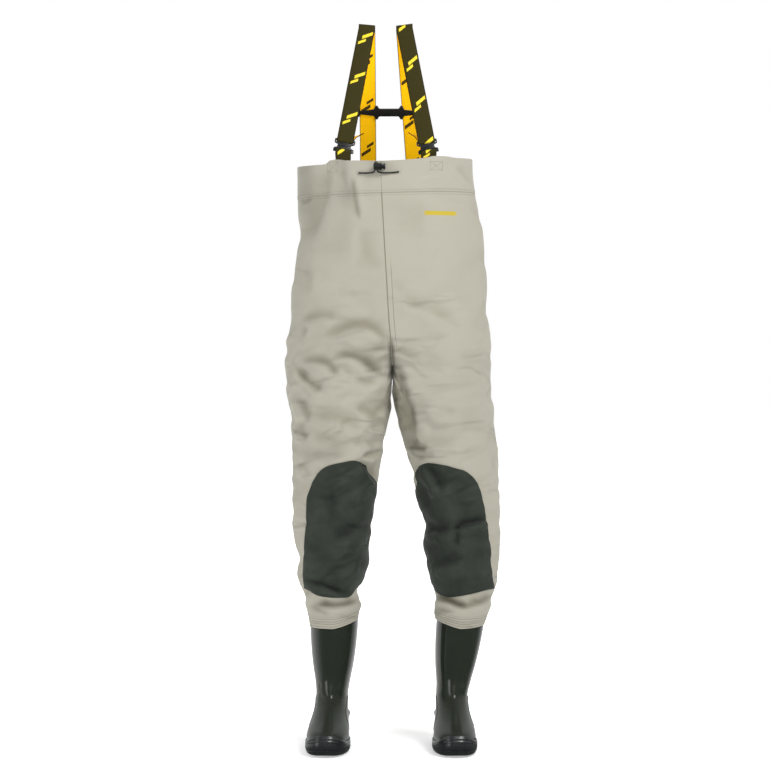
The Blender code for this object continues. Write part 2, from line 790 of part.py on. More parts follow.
def plate(name, outline, holes, depth):
    """Flat moulded piece from an outline and holes in X and Z, centred on its own thickness."""
    curve = bpy.data.curves.new(name, "CURVE")
    curve.dimensions = "2D"
    curve.fill_mode = "BOTH"
    curve.extrude = depth / 2
    for loop in [outline] + holes:
        spline = curve.splines.new("POLY")
        spline.points.add(len(loop) - 1)
        spline.use_cyclic_u = True
        for point, (x, z) in zip(spline.points, loop):
            point.co = (x * MM, z * MM, 0, 1)
    flat = bpy.data.objects.new(name + "_flat", curve)
    bpy.context.scene.collection.objects.link(flat)
    bpy.context.view_layer.update()
    evaluated = flat.evaluated_get(bpy.context.evaluated_depsgraph_get())
    mesh = bpy.data.meshes.new_from_object(evaluated)
    bpy.data.objects.remove(flat, do_unlink=True)
    bm = bmesh.new()
    bm.from_mesh(mesh)
    bpy.data.meshes.remove(mesh)
    bmesh.ops.remove_doubles(bm, verts=bm.verts, dist=1e-6)
    bmesh.ops.rotate(bm, verts=bm.verts, matrix=Matrix.Rotation(math.pi / 2, 3, "X"))
    bmesh.ops.recalc_face_normals(bm, faces=bm.faces)
    return mesh_object(name, bm)


def slot(half_width, low, high):
    return [(-half_width, low), (half_width, low), (half_width, high), (-half_width, high)]


def build_buckle_top(name, side):
    """Upper half: a bar for the brace and a body that narrows into the lower half."""
    bar = BAR_HEIGHT / MM / 2
    foot = -BUCKLE_TOP_LENGTH / MM
    half = [(22, bar), (23, bar - 1), (23.5, -4), (22.5, -8), (16, -10.5), (14.5, foot)]
    outline = half + [(-x, z) for x, z in reversed(half)]
    top = plate(name, outline, [slot(20, -bar - 4.2, -bar)], BAR_DEPTH)
    top.matrix_world = BraceLine(side).frame()
    return top


def build_buckle_base(name, side):
    """Lower half: a housing for the prongs and a bar for the anchor loop."""
    start = -BUCKLE_TOP_LENGTH / MM - 0.3
    foot = start - BUCKLE_BASE_LENGTH / MM
    half = [(15, start), (16, start - 2.5), (15, start - 4.5), (22, start - 6.5), (23.5, foot + 3), (22.5, foot)]
    outline = half + [(-x, z) for x, z in reversed(half)]
    hole = slot(20, foot + 4, foot + 7.5)
    base = plate(name, outline, [hole], BASE_DEPTH)
    base.matrix_world = BraceLine(side).frame()
    return base


def build_anchor_loop(name, side):
    """Webbing from inside the bib, round the lower bar of the buckle and back."""
    line = BraceLine(side)
    bar = line.frame() @ Vector((0, 0, -BUCKLE_TOP_LENGTH - BUCKLE_BASE_LENGTH - 0.3 * MM + 2 * MM))
    wall = 1.6 * MM
    radius = math.hypot(BASE_DEPTH / 2, 2 * MM) + 2 * GAP + wall / 2
    across = bib_across(bar.x, RIM_Z, front=True)
    rim = RIM_Z + RIM_TILT * bar.x
    inside_y = bib_y(bar.x, RIM_Z, front=True) + BAND_WALL + 2.2 * MM
    stations = [(Vector((bar.x, inside_y, rim - 62 * MM)), across)]
    stations.append((Vector((bar.x, inside_y, rim + 2.5 * MM)), across))
    for k in range(9):
        turn = math.radians(-30 + 30 * k)
        arc = line.front * math.cos(turn) - line.down * math.sin(turn)
        stations.append((bar + arc * radius, line.across))
    stations.append((Vector((bar.x, inside_y + wall + 0.5 * MM, rim + 2.5 * MM)), across))
    stations.append((Vector((bar.x, inside_y + wall + 0.4 * MM, rim - 58 * MM)), across))
    return ribbon(name, stations, WEBBING_WIDTH - 3 * MM, wall)


def build_link(name, cutters):
    """Moulded piece that keeps the braces together behind the shoulders."""
    right, left = BraceLine(RIGHT), BraceLine(LEFT)
    ends = (right.back_point(LINK_Z), left.back_point(LINK_Z))
    middle = (ends[0] + ends[1]) / 2
    span = (ends[1] - ends[0]).length / MM / 2
    half = WEBBING_WIDTH / MM / 2
    profile = [
        (0, 9),
        (span - half - 9, 9),
        (span - half - 4, 16),
        (span - half + 1, 16),
        (span - half + 5, 8),
        (span + half - 2, 4),
        (span + half + 1, 10),
        (span + half + 5, 10),
    ]
    upper = [(-x, z) for x, z in reversed(profile[1:])] + profile
    lower = [(x, -z) for x, z in reversed(upper)]
    link = plate(name, upper + lower, [], LINK_DEPTH)
    tilt = math.atan2(right.fold.y - right.leaves.y, right.fold.z - right.leaves.z)
    link.matrix_world = Matrix.Translation(middle) @ Matrix.Rotation(-tilt, 4, "X")
    for line, end in ((right, ends[0]), (left, ends[1])):
        bm = bmesh.new()
        size = (WEBBING_WIDTH + 1.2 * MM, WEBBING_WALL + 1.0 * MM, 0.08, 1)
        bmesh.ops.create_cube(bm, size=1, matrix=Matrix.Diagonal(size))
        cutter = mesh_object(name + "_slot", bm)
        run = (line.back_point(LINK_Z + 0.05) - line.back_point(LINK_Z)).normalized()
        across = (line.back_across() - run * line.back_across().dot(run)).normalized()
        axes = Matrix((across, run.cross(across), run)).transposed().to_4x4()
        cutter.matrix_world = Matrix.Translation(end) @ axes
        add_boolean(link, make_cutter(cutter, cutters), "DIFFERENCE")
    return link


# Drawcord and its lock


def cylinder(name, radius, length, segments):
    """Round bar along X from the origin to +X, its edges softened."""
    bm = bmesh.new()
    turn = Matrix.Rotation(math.pi / 2, 4, "Y") @ Matrix.Translation((0, 0, length / 2))
    bmesh.ops.create_cone(
        bm, cap_ends=True, segments=segments, radius1=radius, radius2=radius, depth=length, matrix=turn
    )
    return mesh_object(name, bm)


def build_lock_barrel(name, cutters):
    """Barrel with a bore for the button from its left end and a slot for both cords."""
    barrel = cylinder(name, LOCK_RADIUS, LOCK_LENGTH, LOCK_SIDES)
    barrel.location = LOCK_CENTRE - Vector((LOCK_LENGTH / 2, 0, 0))
    bore = cylinder(name + "_bore", BUTTON_RADIUS + GAP, 0.02, LOCK_SIDES)
    bore.location = LOCK_CENTRE + Vector((LOCK_LENGTH / 2 - 8 * MM, 0, 0))
    bm = bmesh.new()
    bmesh.ops.create_cube(bm, size=1, matrix=Matrix.Diagonal((CORD_SLOT_WIDTH, CORD_SLOT_DEPTH, 0.04, 1)))
    cord_slot = mesh_object(name + "_cord_slot", bm)
    cord_slot.location = LOCK_CENTRE + Vector((CORD_SLOT_X, 0, 0))
    add_boolean(barrel, make_cutter(bore, cutters), "DIFFERENCE")
    add_boolean(barrel, make_cutter(cord_slot, cutters), "DIFFERENCE")
    return barrel


def build_lock_button(name):
    """Sprung button: a stem in the bore and a head that stands clear by its travel."""
    bm = bmesh.new()
    end = LOCK_LENGTH / 2
    sections = [
        (end - 3.5 * MM, BUTTON_RADIUS),
        (end + BUTTON_TRAVEL + 0.6 * MM, BUTTON_RADIUS),
        (end + BUTTON_TRAVEL + 0.6 * MM, LOCK_RADIUS - 0.6 * MM),
        (end + BUTTON_TRAVEL + 3.6 * MM, LOCK_RADIUS - 0.6 * MM),
        (end + BUTTON_TRAVEL + 5 * MM, LOCK_RADIUS - 2.6 * MM),
    ]
    rings = []
    for x, radius in sections:
        turns = [2 * math.pi * k / LOCK_SIDES for k in range(LOCK_SIDES)]
        rings.append([bm.verts.new((x, radius * math.cos(a), radius * math.sin(a))) for a in turns])
    for low, high in zip(rings, rings[1:]):
        bridge(bm, high, low)
    bm.faces.new(rings[0])
    bm.faces.new(list(reversed(rings[-1])))
    bmesh.ops.recalc_face_normals(bm, faces=bm.faces)
    button = mesh_object(name, bm)
    button.location = LOCK_CENTRE
    return button


def cord_route(side):
    """Middle line of one cord: from its eyelet along the bib, up through the lock to its cut end."""
    lock_x, y, z = LOCK_CENTRE / MM
    points = []
    for x, rise, lie in CORD_RUNS[side]:
        wall_y = bib_y(x * MM, (z + rise) * MM, front=True) / MM
        on_wall = wall_y - (BAND_STEP + CORD_WIDTH / 2) / MM - 0.6
        points.append((x, y + (on_wall - y) * lie, z + rise))
    slot_x = lock_x + CORD_SLOT_X / MM + side * (CORD_WIDTH / 2 / MM + GAP / MM)
    points += [(slot_x, y, z + rise) for rise in CORD_IN_LOCK]
    return [Vector(point) * MM for point in points]


def build_cord(name, side):
    curve = bpy.data.curves.new(name, "CURVE")
    curve.dimensions = "3D"
    curve.bevel_depth = CORD_WIDTH / 2
    curve.bevel_resolution = 2
    curve.use_fill_caps = True
    route = cord_route(side)
    spline = curve.splines.new("POLY")
    spline.points.add(len(route) - 1)
    for point, place_at in zip(spline.points, route):
        point.co = (*place_at, 1)
    return bpy.data.objects.new(name, curve)


def main():
    clear_scene()
    parts = new_collection("chest_waders")
    cutters = new_collection("cutters")
    root = bpy.data.objects.new("chest_waders_root", None)
    parts.objects.link(root)
    root.location = STAND_SHIFT

    nylon = new_material("coated_nylon", (0.46, 0.43, 0.37), 0.55)
    patch_rubber = new_material("patch_rubber", (0.05, 0.09, 0.06), 0.7)
    boot_pvc = new_material("boot_pvc", (0.04, 0.08, 0.05), 0.25)
    sole_pvc = new_material("sole_pvc", (0.02, 0.025, 0.03), 0.4)
    foam = new_material("insole_felt", (0.1, 0.1, 0.1), 0.9)
    webbing = new_material("webbing", (0.35, 0.34, 0.06), 0.8)
    plastic = new_material("black_acetal", (0.01, 0.01, 0.011), 0.35)
    cord = new_material("cord_polyester", (0.012, 0.012, 0.013), 0.8)

    def add(thing, material):
        place(thing, parts, material, root)

    add(build_body(), nylon)
    for word, side in SIDES:
        add(build_patch("knee_patch_" + word, side, cutters), patch_rubber)
        add(build_upper("boot_upper_" + word, side), boot_pvc)
        add(build_sole("outsole_" + word, side, cutters), sole_pvc)
        add(build_insole("insole_" + word, side), foam)
        add(build_brace("brace_" + word, side), webbing)
        add(build_buckle_top("buckle_top_" + word, side), plastic)
        add(build_buckle_base("buckle_base_" + word, side), plastic)
        add(build_anchor_loop("anchor_loop_" + word, side), webbing)
        add(build_cord("drawcord_" + word, side), cord)
    add(build_link("brace_link", cutters), plastic)
    add(build_lock_barrel("cord_lock_barrel", cutters), plastic)
    add(build_lock_button("cord_lock_button"), plastic)
    for cutter in cutters.objects:
        cutter.parent = root


main()
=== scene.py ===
"""Chest waders with welded boots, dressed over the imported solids.

X runs to the wearer's left, -Y is the front, Z is up and the soles stand on z = 0.
Tables and sizes are in millimetres before the stand shift; Blender gets metres.
"""

from __future__ import annotations

import json
import logging
import math
from dataclasses import dataclass, field
from enum import Enum
from typing import NamedTuple, Sequence

import bmesh
import bpy
import numpy as np
from mathutils import Matrix, Vector, noise
from mathutils.bvhtree import BVHTree

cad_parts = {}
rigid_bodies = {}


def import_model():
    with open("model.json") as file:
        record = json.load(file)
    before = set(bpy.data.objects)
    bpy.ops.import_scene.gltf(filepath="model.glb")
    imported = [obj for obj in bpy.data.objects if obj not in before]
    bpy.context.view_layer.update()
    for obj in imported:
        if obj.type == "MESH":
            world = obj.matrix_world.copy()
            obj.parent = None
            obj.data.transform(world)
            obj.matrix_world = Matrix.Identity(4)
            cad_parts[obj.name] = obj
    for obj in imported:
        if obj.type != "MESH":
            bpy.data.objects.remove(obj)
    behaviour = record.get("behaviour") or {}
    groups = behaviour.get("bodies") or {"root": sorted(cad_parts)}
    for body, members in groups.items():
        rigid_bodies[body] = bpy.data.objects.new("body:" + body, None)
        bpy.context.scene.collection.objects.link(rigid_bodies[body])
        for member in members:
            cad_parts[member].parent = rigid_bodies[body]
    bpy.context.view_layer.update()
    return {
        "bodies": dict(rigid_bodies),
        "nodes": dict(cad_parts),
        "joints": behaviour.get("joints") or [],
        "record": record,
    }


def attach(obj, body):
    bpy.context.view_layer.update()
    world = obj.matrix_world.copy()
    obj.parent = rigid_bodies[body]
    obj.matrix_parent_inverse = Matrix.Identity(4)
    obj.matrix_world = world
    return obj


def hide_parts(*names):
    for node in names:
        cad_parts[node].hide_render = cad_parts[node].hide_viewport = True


LOG = logging.getLogger("waders")
MM = 0.001
STAND_SHIFT = np.array((-7.0, 35.5, 0.0))
GAP = 0.3


class Side(Enum):
    """The wearer's two sides, with the sign of X."""

    RIGHT = -1
    LEFT = 1

    @property
    def word(self) -> str:
        """Name used in node names."""
        return self.name.lower()


class Facing(Enum):
    """From which side a crease is drawn: axis of the normal, its sign, and the axis across."""

    FRONT = (1, -1, 0)
    BACK = (1, 1, 0)
    RIGHT = (0, -1, 1)
    LEFT = (0, 1, 1)


class TorsoRow(NamedTuple):
    """Bib outline at a height: side edges, front, back, depth of the middle cleft, middle seam."""

    z: float
    right: float
    left: float
    front: float
    back: float
    cleft: float
    seam: float


class LegRow(NamedTuple):
    """Leg outline at a height: outer and inner edge, front, back."""

    z: float
    outer: float
    inner: float
    front: float
    back: float


class RimRow(NamedTuple):
    """Rise of the bib's front edge at an X."""

    x: float
    rise: float


class BootRow(NamedTuple):
    """Boot slice: heel end, toe end, half widths at the rear and of the forefoot, end roundness."""

    z: float
    back: float
    front: float
    rear: float
    inner: float
    outer: float
    ends: float


class Stance(NamedTuple):
    """Where a boot stands: ankle centre, toe-out turn, sideways lean of the shaft."""

    ankle_x: float
    toe_out: float
    lean: float


class SoleRow(NamedTuple):
    """Sole side from the ground up: height, how far it stands out, share of the heel lift."""

    z: float
    out: float
    lift: float


class EdgeRow(NamedTuple):
    """Top edge of the sole's rim from heel (0) to toe (1)."""

    along: float
    z: float


class BraceRow(NamedTuple):
    """Brace: X at the back, shoulder fold, buckle, and the lie of the free tail."""

    back_x: float
    fold_x: float
    fold_z: float
    buckle_x: float
    buckle_z: float
    tail_x: float
    tail_z: float


class Crease(NamedTuple):
    """Soft fold: its path, its depth, its half width, and the share of the depth that swells."""

    path: tuple[tuple[float, float], ...]
    depth: float
    width: float
    swell: float


TORSO = (
    TorsoRow(868, -241, 232, -133, 148, 34, 5),
    TorsoRow(905, -239, 232, -138, 149, 14, 3),
    TorsoRow(939, -234.5, 230, -140, 146, 6, 0),
    TorsoRow(974, -228, 225.5, -140, 142, 3, -3),
    TorsoRow(1008, -227.5, 221.5, -139, 138, 1.5, -5),
    TorsoRow(1042, -225.5, 223, -138, 134, 0, -7),
    TorsoRow(1077, -221, 221, -136.5, 132, 0, -9),
    TorsoRow(1111, -216, 218.5, -135, 130, 0, -11),
    TorsoRow(1146, -209.5, 216, -132.5, 129, 0, -13),
    TorsoRow(1180, -207, 211.5, -130, 128, 0, -15),
    TorsoRow(1215, -211, 204.5, -128, 127.5, 0, -17),
    TorsoRow(1254, -211.5, 195.5, -126, 127, 0, -19),
    TorsoRow(1295, -211.5, 189.5, -125, 126.5, 0, -20),
    TorsoRow(1332, -212, 188.5, -124, 126, 0, -21),
)

LEGS = {
    Side.RIGHT: (
        LegRow(268, -184.5, -72.5, -73.2, 72.2),
        LegRow(284, -186.5, -71, -74.5, 73.5),
        LegRow(301, -190, -68.5, -77, 75),
        LegRow(318, -193, -66.5, -79, 76),
        LegRow(335, -197, -70, -82, 78),
        LegRow(352, -201, -77, -86, 80),
        LegRow(370, -209, -68, -90, 83),
        LegRow(387, -213.5, -57.5, -92, 86),
        LegRow(404, -211, -51, -93, 86.5),
        LegRow(421, -207.5, -48.5, -93, 87),
        LegRow(456, -216, -50.5, -95.5, 87.5),
        LegRow(490, -220.5, -46, -98, 88),
        LegRow(525, -223, -39.5, -100.5, 90),
        LegRow(560, -225, -36.5, -103, 93),
        LegRow(594, -223.5, -27.5, -105, 97),
        LegRow(628, -225, -23, -107, 102),
        LegRow(663, -225, -18.5, -110, 108),
        LegRow(697, -225, -13.5, -114, 115),
        LegRow(732, -225.5, -6.5, -118, 121),
        LegRow(766, -230, 1, -122, 128),
        LegRow(800, -235, 2.5, -126, 136),
        LegRow(836, -239, 3, -130, 143),
        LegRow(868, -241, 3.5, -134, 148),
    ),
    Side.LEFT: (
        LegRow(268, 217.5, 103.5, -72.8, 71.8),
        LegRow(284, 222.5, 101.5, -74.5, 73.5),
        LegRow(301, 227.5, 103, -77, 75),
        LegRow(318, 232, 103.5, -79, 76),
        LegRow(335, 236, 102.5, -82, 78),
        LegRow(352, 239.5, 101, -85, 80),
        LegRow(370, 244.5, 96.5, -89, 83),
        LegRow(387, 248.5, 92, -92, 86),
        LegRow(404, 250, 88.5, -93, 86.5),
        LegRow(421, 251, 85, -93, 87),
        LegRow(456, 253, 79, -95.5, 87.5),
        LegRow(480, 253, 80, -97, 88),
        LegRow(505, 253, 86, -99, 89),
        LegRow(525, 253, 75, -100.5, 90),
        LegRow(560, 251, 62.5, -103, 93),
        LegRow(594, 250.5, 57.5, -105, 97),
        LegRow(628, 248.5, 50.5, -107, 102),
        LegRow(663, 248.5, 39, -110, 108),
        LegRow(697, 246, 30, -114, 115),
        LegRow(732, 239.5, 20.5, -118, 121),
        LegRow(766, 237, 11.5, -122, 128),
        LegRow(800, 234.5, 8, -126, 136),
        LegRow(836, 232.5, 7, -130, 143),
        LegRow(868, 232, 6.5, -134, 148),
    ),
}

RIM_FRONT = (
    RimRow(-215, -1),
    RimRow(-160, -4),
    RimRow(-144, -3),
    RimRow(-136, 3.5),
    RimRow(-116, 4),
    RimRow(-100, 1),
    RimRow(-60, -1.5),
    RimRow(-20, -4),
    RimRow(40, -3.5),
    RimRow(82, -0.5),
    RimRow(96, 2.5),
    RimRow(126, 2),
    RimRow(150, -1),
    RimRow(190, -1),
)

# Folds of the bib and legs as (across, up) points seen from the named side. A fold sinks softly on the
# left of its run and swells sharply on the right.
CREASES = {
    Facing.FRONT: (
        # Chest
        Crease(((-66, 1186), (-74, 1212), (-80, 1240), (-84, 1268), (-90, 1304)), 7, 6, 0.5),
        Crease(((-190, 1130), (-164, 1210), (-148, 1262), (-138, 1330)), 6.5, 15, 0.3),
        Crease(((-98, 1258), (-104, 1284), (-108, 1312)), 3, 6, 0.6),
        Crease(((-201, 1237), (-190, 1241), (-178, 1245)), 3.5, 4, 0.4),
        Crease(((147, 1322), (160, 1308), (174, 1292), (186, 1277)), 3.5, 7, 0.5),
        Crease(((-64, 1186), (-62, 1150), (-56, 1120), (-42, 1098)), 3.5, 14, 0.5),
        Crease(((-92, 1100), (-60, 1096), (-30, 1092), (-14, 1084)), 3, 11, 0.5),
        Crease(((58, 1150), (64, 1200), (60, 1240)), 2, 20, 0.3),
        Crease(((-191, 1024), (-185, 1060), (-194, 1100)), 3, 9, 0.4),
        # Hips
        Crease(((-206, 966), (-176, 977), (-146, 979), (-113, 973)), 7, 8, 0.6),
        Crease(((-124, 1024), (-98, 1027), (-72, 1026)), 2.5, 8, 0.4),
        Crease(
            ((-166, 932), (-124, 939), (-101, 950), (-68, 957), (-38, 948), (-18, 925), (-10, 908)),
            9, 8, 0.7,
        ),
        Crease(((-140, 880), (-101, 888), (-68, 879), (-41, 862), (-18, 844), (4, 838)), 10, 8, 0.75),
        Crease(((-214, 876), (-169, 879), (-146, 870), (-126, 855), (-102, 848)), 8, 8, 0.7),
        Crease(((-217, 872), (-198, 842), (-174, 822), (-146, 805)), 9, 8, 0.7),
        Crease(((-115, 878), (-90, 846), (-63, 831), (-34, 830), (-5, 838)), 4, 8, 0.6),
        Crease(((-203, 930), (-194, 948), (-188, 960)), 4, 6, 0.4),
        Crease(((-42, 895), (-20, 903), (0, 914)), 5.5, 6, 0.6),
        Crease(((-26, 868), (-9, 889), (0, 908)), 5, 6, 0.5),
        Crease(((6, 906), (27, 891), (56, 885)), 6, 6, 0.6),
        Crease(((12, 868), (34, 864), (60, 862)), 3, 8, 0.5),
        Crease(((12, 840), (31, 840), (56, 836)), 5, 6, 0.6),
        Crease(((14, 1024), (45, 1006), (78, 997), (112, 984), (148, 965)), 5, 10, 0.6),
        Crease(((76, 959), (123, 963), (146, 959), (161, 938)), 3, 8, 0.5),
        Crease(((4, 1062), (13, 1044), (30, 1034)), 2.5, 8, 0.4),
        # Right thigh
        Crease(((-212, 802), (-198, 772), (-187, 740)), 8, 7, 0.8),
        Crease(((-214, 750), (-203, 723), (-190, 692)), 6, 7, 0.8),
        Crease(((-190, 754), (-135, 750), (-101, 743), (-72, 730), (-44, 716)), 6.5, 10, 0.7),
        Crease(((-116, 736), (-86, 721), (-58, 714)), 4, 7, 0.6),
        Crease(((-80, 773), (-54, 765), (-36, 752), (-20, 738)), 6, 7, 0.7),
        Crease(((-183, 732), (-158, 700), (-113, 682), (-70, 666)), 3.5, 14, 0.6),
        Crease(((-90, 683), (-63, 691), (-34, 693), (-12, 701)), 6, 7, 0.7),
        Crease(((-62, 661), (-41, 666), (-16, 673)), 6, 6, 0.6),
        Crease(((-42, 720), (-22, 731), (-6, 743)), 5, 7, 0.5),
        Crease(((-32, 760), (-14, 772), (0, 786)), 5, 7, 0.5),
        Crease(((-206, 652), (-192, 632), (-178, 612)), 4, 7, 0.6),
        Crease(((-186, 668), (-150, 672), (-104, 664)), 5, 9, 0.2),
        # Left thigh
        Crease(((58, 676), (45, 726), (33, 780), (20, 834), (4, 890)), 12, 13, 0.4),
        Crease(((63, 752), (67, 781), (54, 810)), 4, 10, 0.5),
        Crease(((42, 735), (67, 743), (92, 745)), 4, 8, 0.5),
        Crease(((40, 698), (58, 686), (80, 671)), 9, 7, 0.6),
        Crease(((95, 765), (123, 768), (148, 755)), 3, 8, 0.5),
        Crease(((76, 693), (123, 693), (159, 703)), 3, 7, 0.5),
        Crease(((60, 654), (76, 661), (102, 664)), 4, 7, 0.5),
        Crease(((155, 718), (184, 727), (213, 722)), 2.5, 9, 0.5),
        # Knee patches
        Crease(((-70, 654), (-45, 628), (-26, 594)), 8, 8, 0.6),
        Crease(((-136, 505), (-130, 560), (-142, 622)), 5, 11, 0.6),
        Crease(((-128, 470), (-100, 482), (-66, 506)), 6, 11, 0.6),
        Crease(((-150, 388), (-112, 414), (-66, 430)), 7, 11, 0.5),
        Crease(((-202, 386), (-164, 373), (-130, 361), (-90, 346)), 10, 7, 0.35),
        Crease(((72, 654), (92, 628), (108, 597), (118, 568)), 9, 8, 0.7),
        Crease(((92, 530), (82, 580), (70, 630)), 5, 14, 0.3),
        Crease(((138, 496), (162, 505), (184, 511), (226, 519)), 11, 7, 0.8),
        Crease(((151, 456), (153, 484), (149, 508)), 7, 7, 0.5),
        Crease(((76, 512), (92, 502), (112, 496), (140, 499)), 6, 9, 0.6),
        Crease(((92, 410), (130, 420), (166, 434)), 7, 11, 0.6),
        # Cuffs
        Crease(((-176, 326), (-150, 325), (-125, 323), (-93, 327), (-62, 333)), 8, 6.5, 0.4),
        Crease(((-186, 324), (-168, 315), (-150, 308), (-138, 297)), 3.5, 6, 0.4),
        Crease(((90, 347), (128, 335), (154, 325), (190, 317)), 9, 6.5, 0.4),
        Crease(((166, 322), (190, 325), (214, 331), (240, 343)), 6, 6.5, 0.4),
        Crease(((98, 316), (128, 311), (151, 308), (184, 303)), 3, 6, 0.4),
    ),
    Facing.BACK: (
        # Bib
        Crease(((-116, 1150), (-112, 1210), (-108, 1275), (-116, 1324)), 6, 10, 0.5),
        Crease(((98, 1324), (90, 1282), (84, 1220)), 5, 9, 0.5),
        Crease(((36, 1184), (60, 1130), (104, 1094)), 4, 14, 0.4),
        Crease(((-154, 1102), (-96, 1082), (-26, 1092)), 4.5, 12, 0.5),
        Crease(((18, 1044), (86, 1058), (156, 1038)), 4.5, 12, 0.5),
        Crease(((-180, 1004), (-120, 992), (-60, 1000)), 4, 10, 0.5),
        Crease(((-64, 962), (-20, 946), (14, 950)), 3, 10, 0.5),
        Crease(((114, 982), (170, 964), (210, 966)), 4, 9, 0.5),
        # Seat and thighs
        Crease(((-208, 842), (-150, 826), (-84, 832), (-18, 868)), 10, 10, 0.7),
        Crease(((14, 874), (70, 838), (150, 818), (214, 826)), 10, 10, 0.7),
        Crease(((-200, 786), (-120, 770), (-40, 798)), 7, 9, 0.6),
        Crease(((40, 808), (112, 776), (182, 770)), 6, 9, 0.6),
        Crease(((-194, 730), (-140, 716), (-86, 722)), 4, 9, 0.5),
        Crease(((84, 740), (150, 716), (220, 722)), 4, 10, 0.5),
        Crease(((-120, 690), (-70, 668), (-30, 664)), 4, 10, 0.5),
        # Hollows of the knees
        Crease(((-216, 592), (-160, 572), (-96, 570), (-40, 592)), 8, 8, 0.6),
        Crease(((-218, 550), (-150, 530), (-66, 540)), 9, 8, 0.7),
        Crease(((-210, 500), (-130, 506), (-62, 486)), 7, 8, 0.6),
        Crease(((-194, 453), (-130, 446), (-76, 456)), 4, 9, 0.5),
        Crease(((66, 606), (120, 580), (184, 572), (248, 584)), 8, 8, 0.6),
        Crease(((88, 534), (160, 548), (250, 531)), 9, 8, 0.7),
        Crease(((92, 496), (170, 510), (244, 497)), 6, 8, 0.6),
        Crease(((106, 457), (170, 446), (234, 457)), 4, 9, 0.5),
        # Cuffs
        Crease(((-200, 351), (-140, 338), (-76, 347)), 8, 6, 0.5),
        Crease(((-184, 313), (-130, 322), (-80, 311)), 5, 6, 0.4),
        Crease(((108, 347), (170, 334), (238, 351)), 8, 6, 0.5),
        Crease(((120, 311), (170, 318), (226, 307)), 5, 6, 0.4),
    ),
    Facing.RIGHT: (
        Crease(((-94, 1192), (-30, 1160), (46, 1172)), 2, 12, 0.5),
        Crease(((-64, 1082), (0, 1064), (76, 1080)), 2, 12, 0.5),
        Crease(((-74, 962), (-10, 942), (66, 950)), 2.2, 10, 0.6),
        Crease(((-54, 892), (20, 898), (94, 878)), 2.5, 10, 0.6),
        Crease(((-46, 840), (30, 824), (106, 804)), 2.5, 10, 0.6),
        Crease(((-64, 762), (0, 746), (64, 760)), 2.2, 9, 0.6),
        Crease(((-54, 640), (0, 622), (64, 630)), 2, 9, 0.6),
        Crease(((-44, 542), (10, 524), (64, 534)), 2.5, 9, 0.6),
        Crease(((-44, 442), (10, 424), (64, 432)), 2, 9, 0.6),
        Crease(((-54, 347), (0, 334), (54, 342)), 3, 7, 0.5),
    ),
    Facing.LEFT: (
        Crease(((-80, 1232), (-20, 1206), (50, 1210)), 2, 12, 0.5),
        Crease(((-84, 1122), (0, 1100), (74, 1108)), 2, 12, 0.5),
        Crease(((-60, 1002), (10, 984), (80, 996)), 2, 11, 0.5),
        Crease(((-34, 884), (30, 894), (104, 876)), 2.5, 10, 0.6),
        Crease(((-26, 800), (40, 784), (106, 796)), 2.5, 10, 0.6),
        Crease(((-60, 702), (0, 690), (70, 698)), 2, 9, 0.6),
        Crease(((-50, 604), (10, 586), (70, 592)), 2, 9, 0.6),
        Crease(((-44, 512), (10, 500), (66, 512)), 2.5, 9, 0.6),
        Crease(((-44, 400), (10, 389), (64, 396)), 2, 9, 0.6),
        Crease(((-50, 340), (4, 330), (54, 338)), 2.5, 7, 0.5),
    ),
}

# Shade in deep folds and on parts that are turned away; the depth is the share of shade.
SHADES = {
    Facing.FRONT: (
        Crease(((66, 354), (96, 345), (128, 334), (154, 324), (190, 316)), 0.5, 4.5, 0),
        Crease(((166, 321), (190, 324), (214, 330), (240, 342)), 0.2, 4.5, 0),
        Crease(((-176, 326), (-150, 325), (-125, 323), (-93, 327), (-62, 333)), 0.36, 4.5, 0),
        Crease(((-186, 324), (-168, 315), (-150, 308), (-138, 297)), 0.16, 4.5, 0),
        Crease(((-142, 883), (-101, 891), (-68, 882), (-41, 865), (-14, 845)), 0.1, 5, 0),
        Crease(((-216, 879), (-169, 882), (-146, 873), (-120, 856)), 0.08, 5, 0),
        Crease(((62, 690), (54, 750), (42, 800), (28, 842), (10, 910)), 0.28, 8, 0),
        Crease(((30, 712), (54, 674), (78, 650)), 0.3, 7, 0),
        Crease(((-176, 1170), (-186, 1250), (-190, 1320), (-194, 1420)), 0.2, 20, 0),
        Crease(((-92, 1200), (-96, 1260), (-104, 1320), (-110, 1400)), 0.2, 10, 0),
        Crease(((-118, 1080), (-106, 1180), (-98, 1290)), 0.09, 22, 0),
        Crease(((-218, 676), (-170, 666), (-134, 660), (-84, 680)), 0.17, 10, 0),
    ),
}


def smooth(low: float, high: float, value: np.ndarray) -> np.ndarray:
    """Ease from 0 at low to 1 at high."""
    t = np.clip((np.asarray(value, float) - low) / (high - low), 0.0, 1.0)
    return t * t * (3 - 2 * t)


def signed_power(value: np.ndarray, power: float) -> np.ndarray:
    """Power of the size of a number that keeps its sign."""
    return np.sign(value) * np.abs(value) ** power


def unit(vectors: np.ndarray) -> np.ndarray:
    """Vectors along the last axis, at length 1."""
    return vectors / np.maximum(np.linalg.norm(vectors, axis=-1, keepdims=True), 1e-9)


def bell(value: np.ndarray, middle: float, half: float | np.ndarray) -> np.ndarray:
    """Soft bump that is 1 at a middle and nearly gone two half widths away."""
    return np.exp(-(((value - middle) / half) ** 2))


def run_lengths(points: np.ndarray) -> np.ndarray:
    """Distance of each point of a polyline from its start, along it."""
    return np.concatenate([[0.0], np.cumsum(np.linalg.norm(np.diff(points, axis=0), axis=1))])


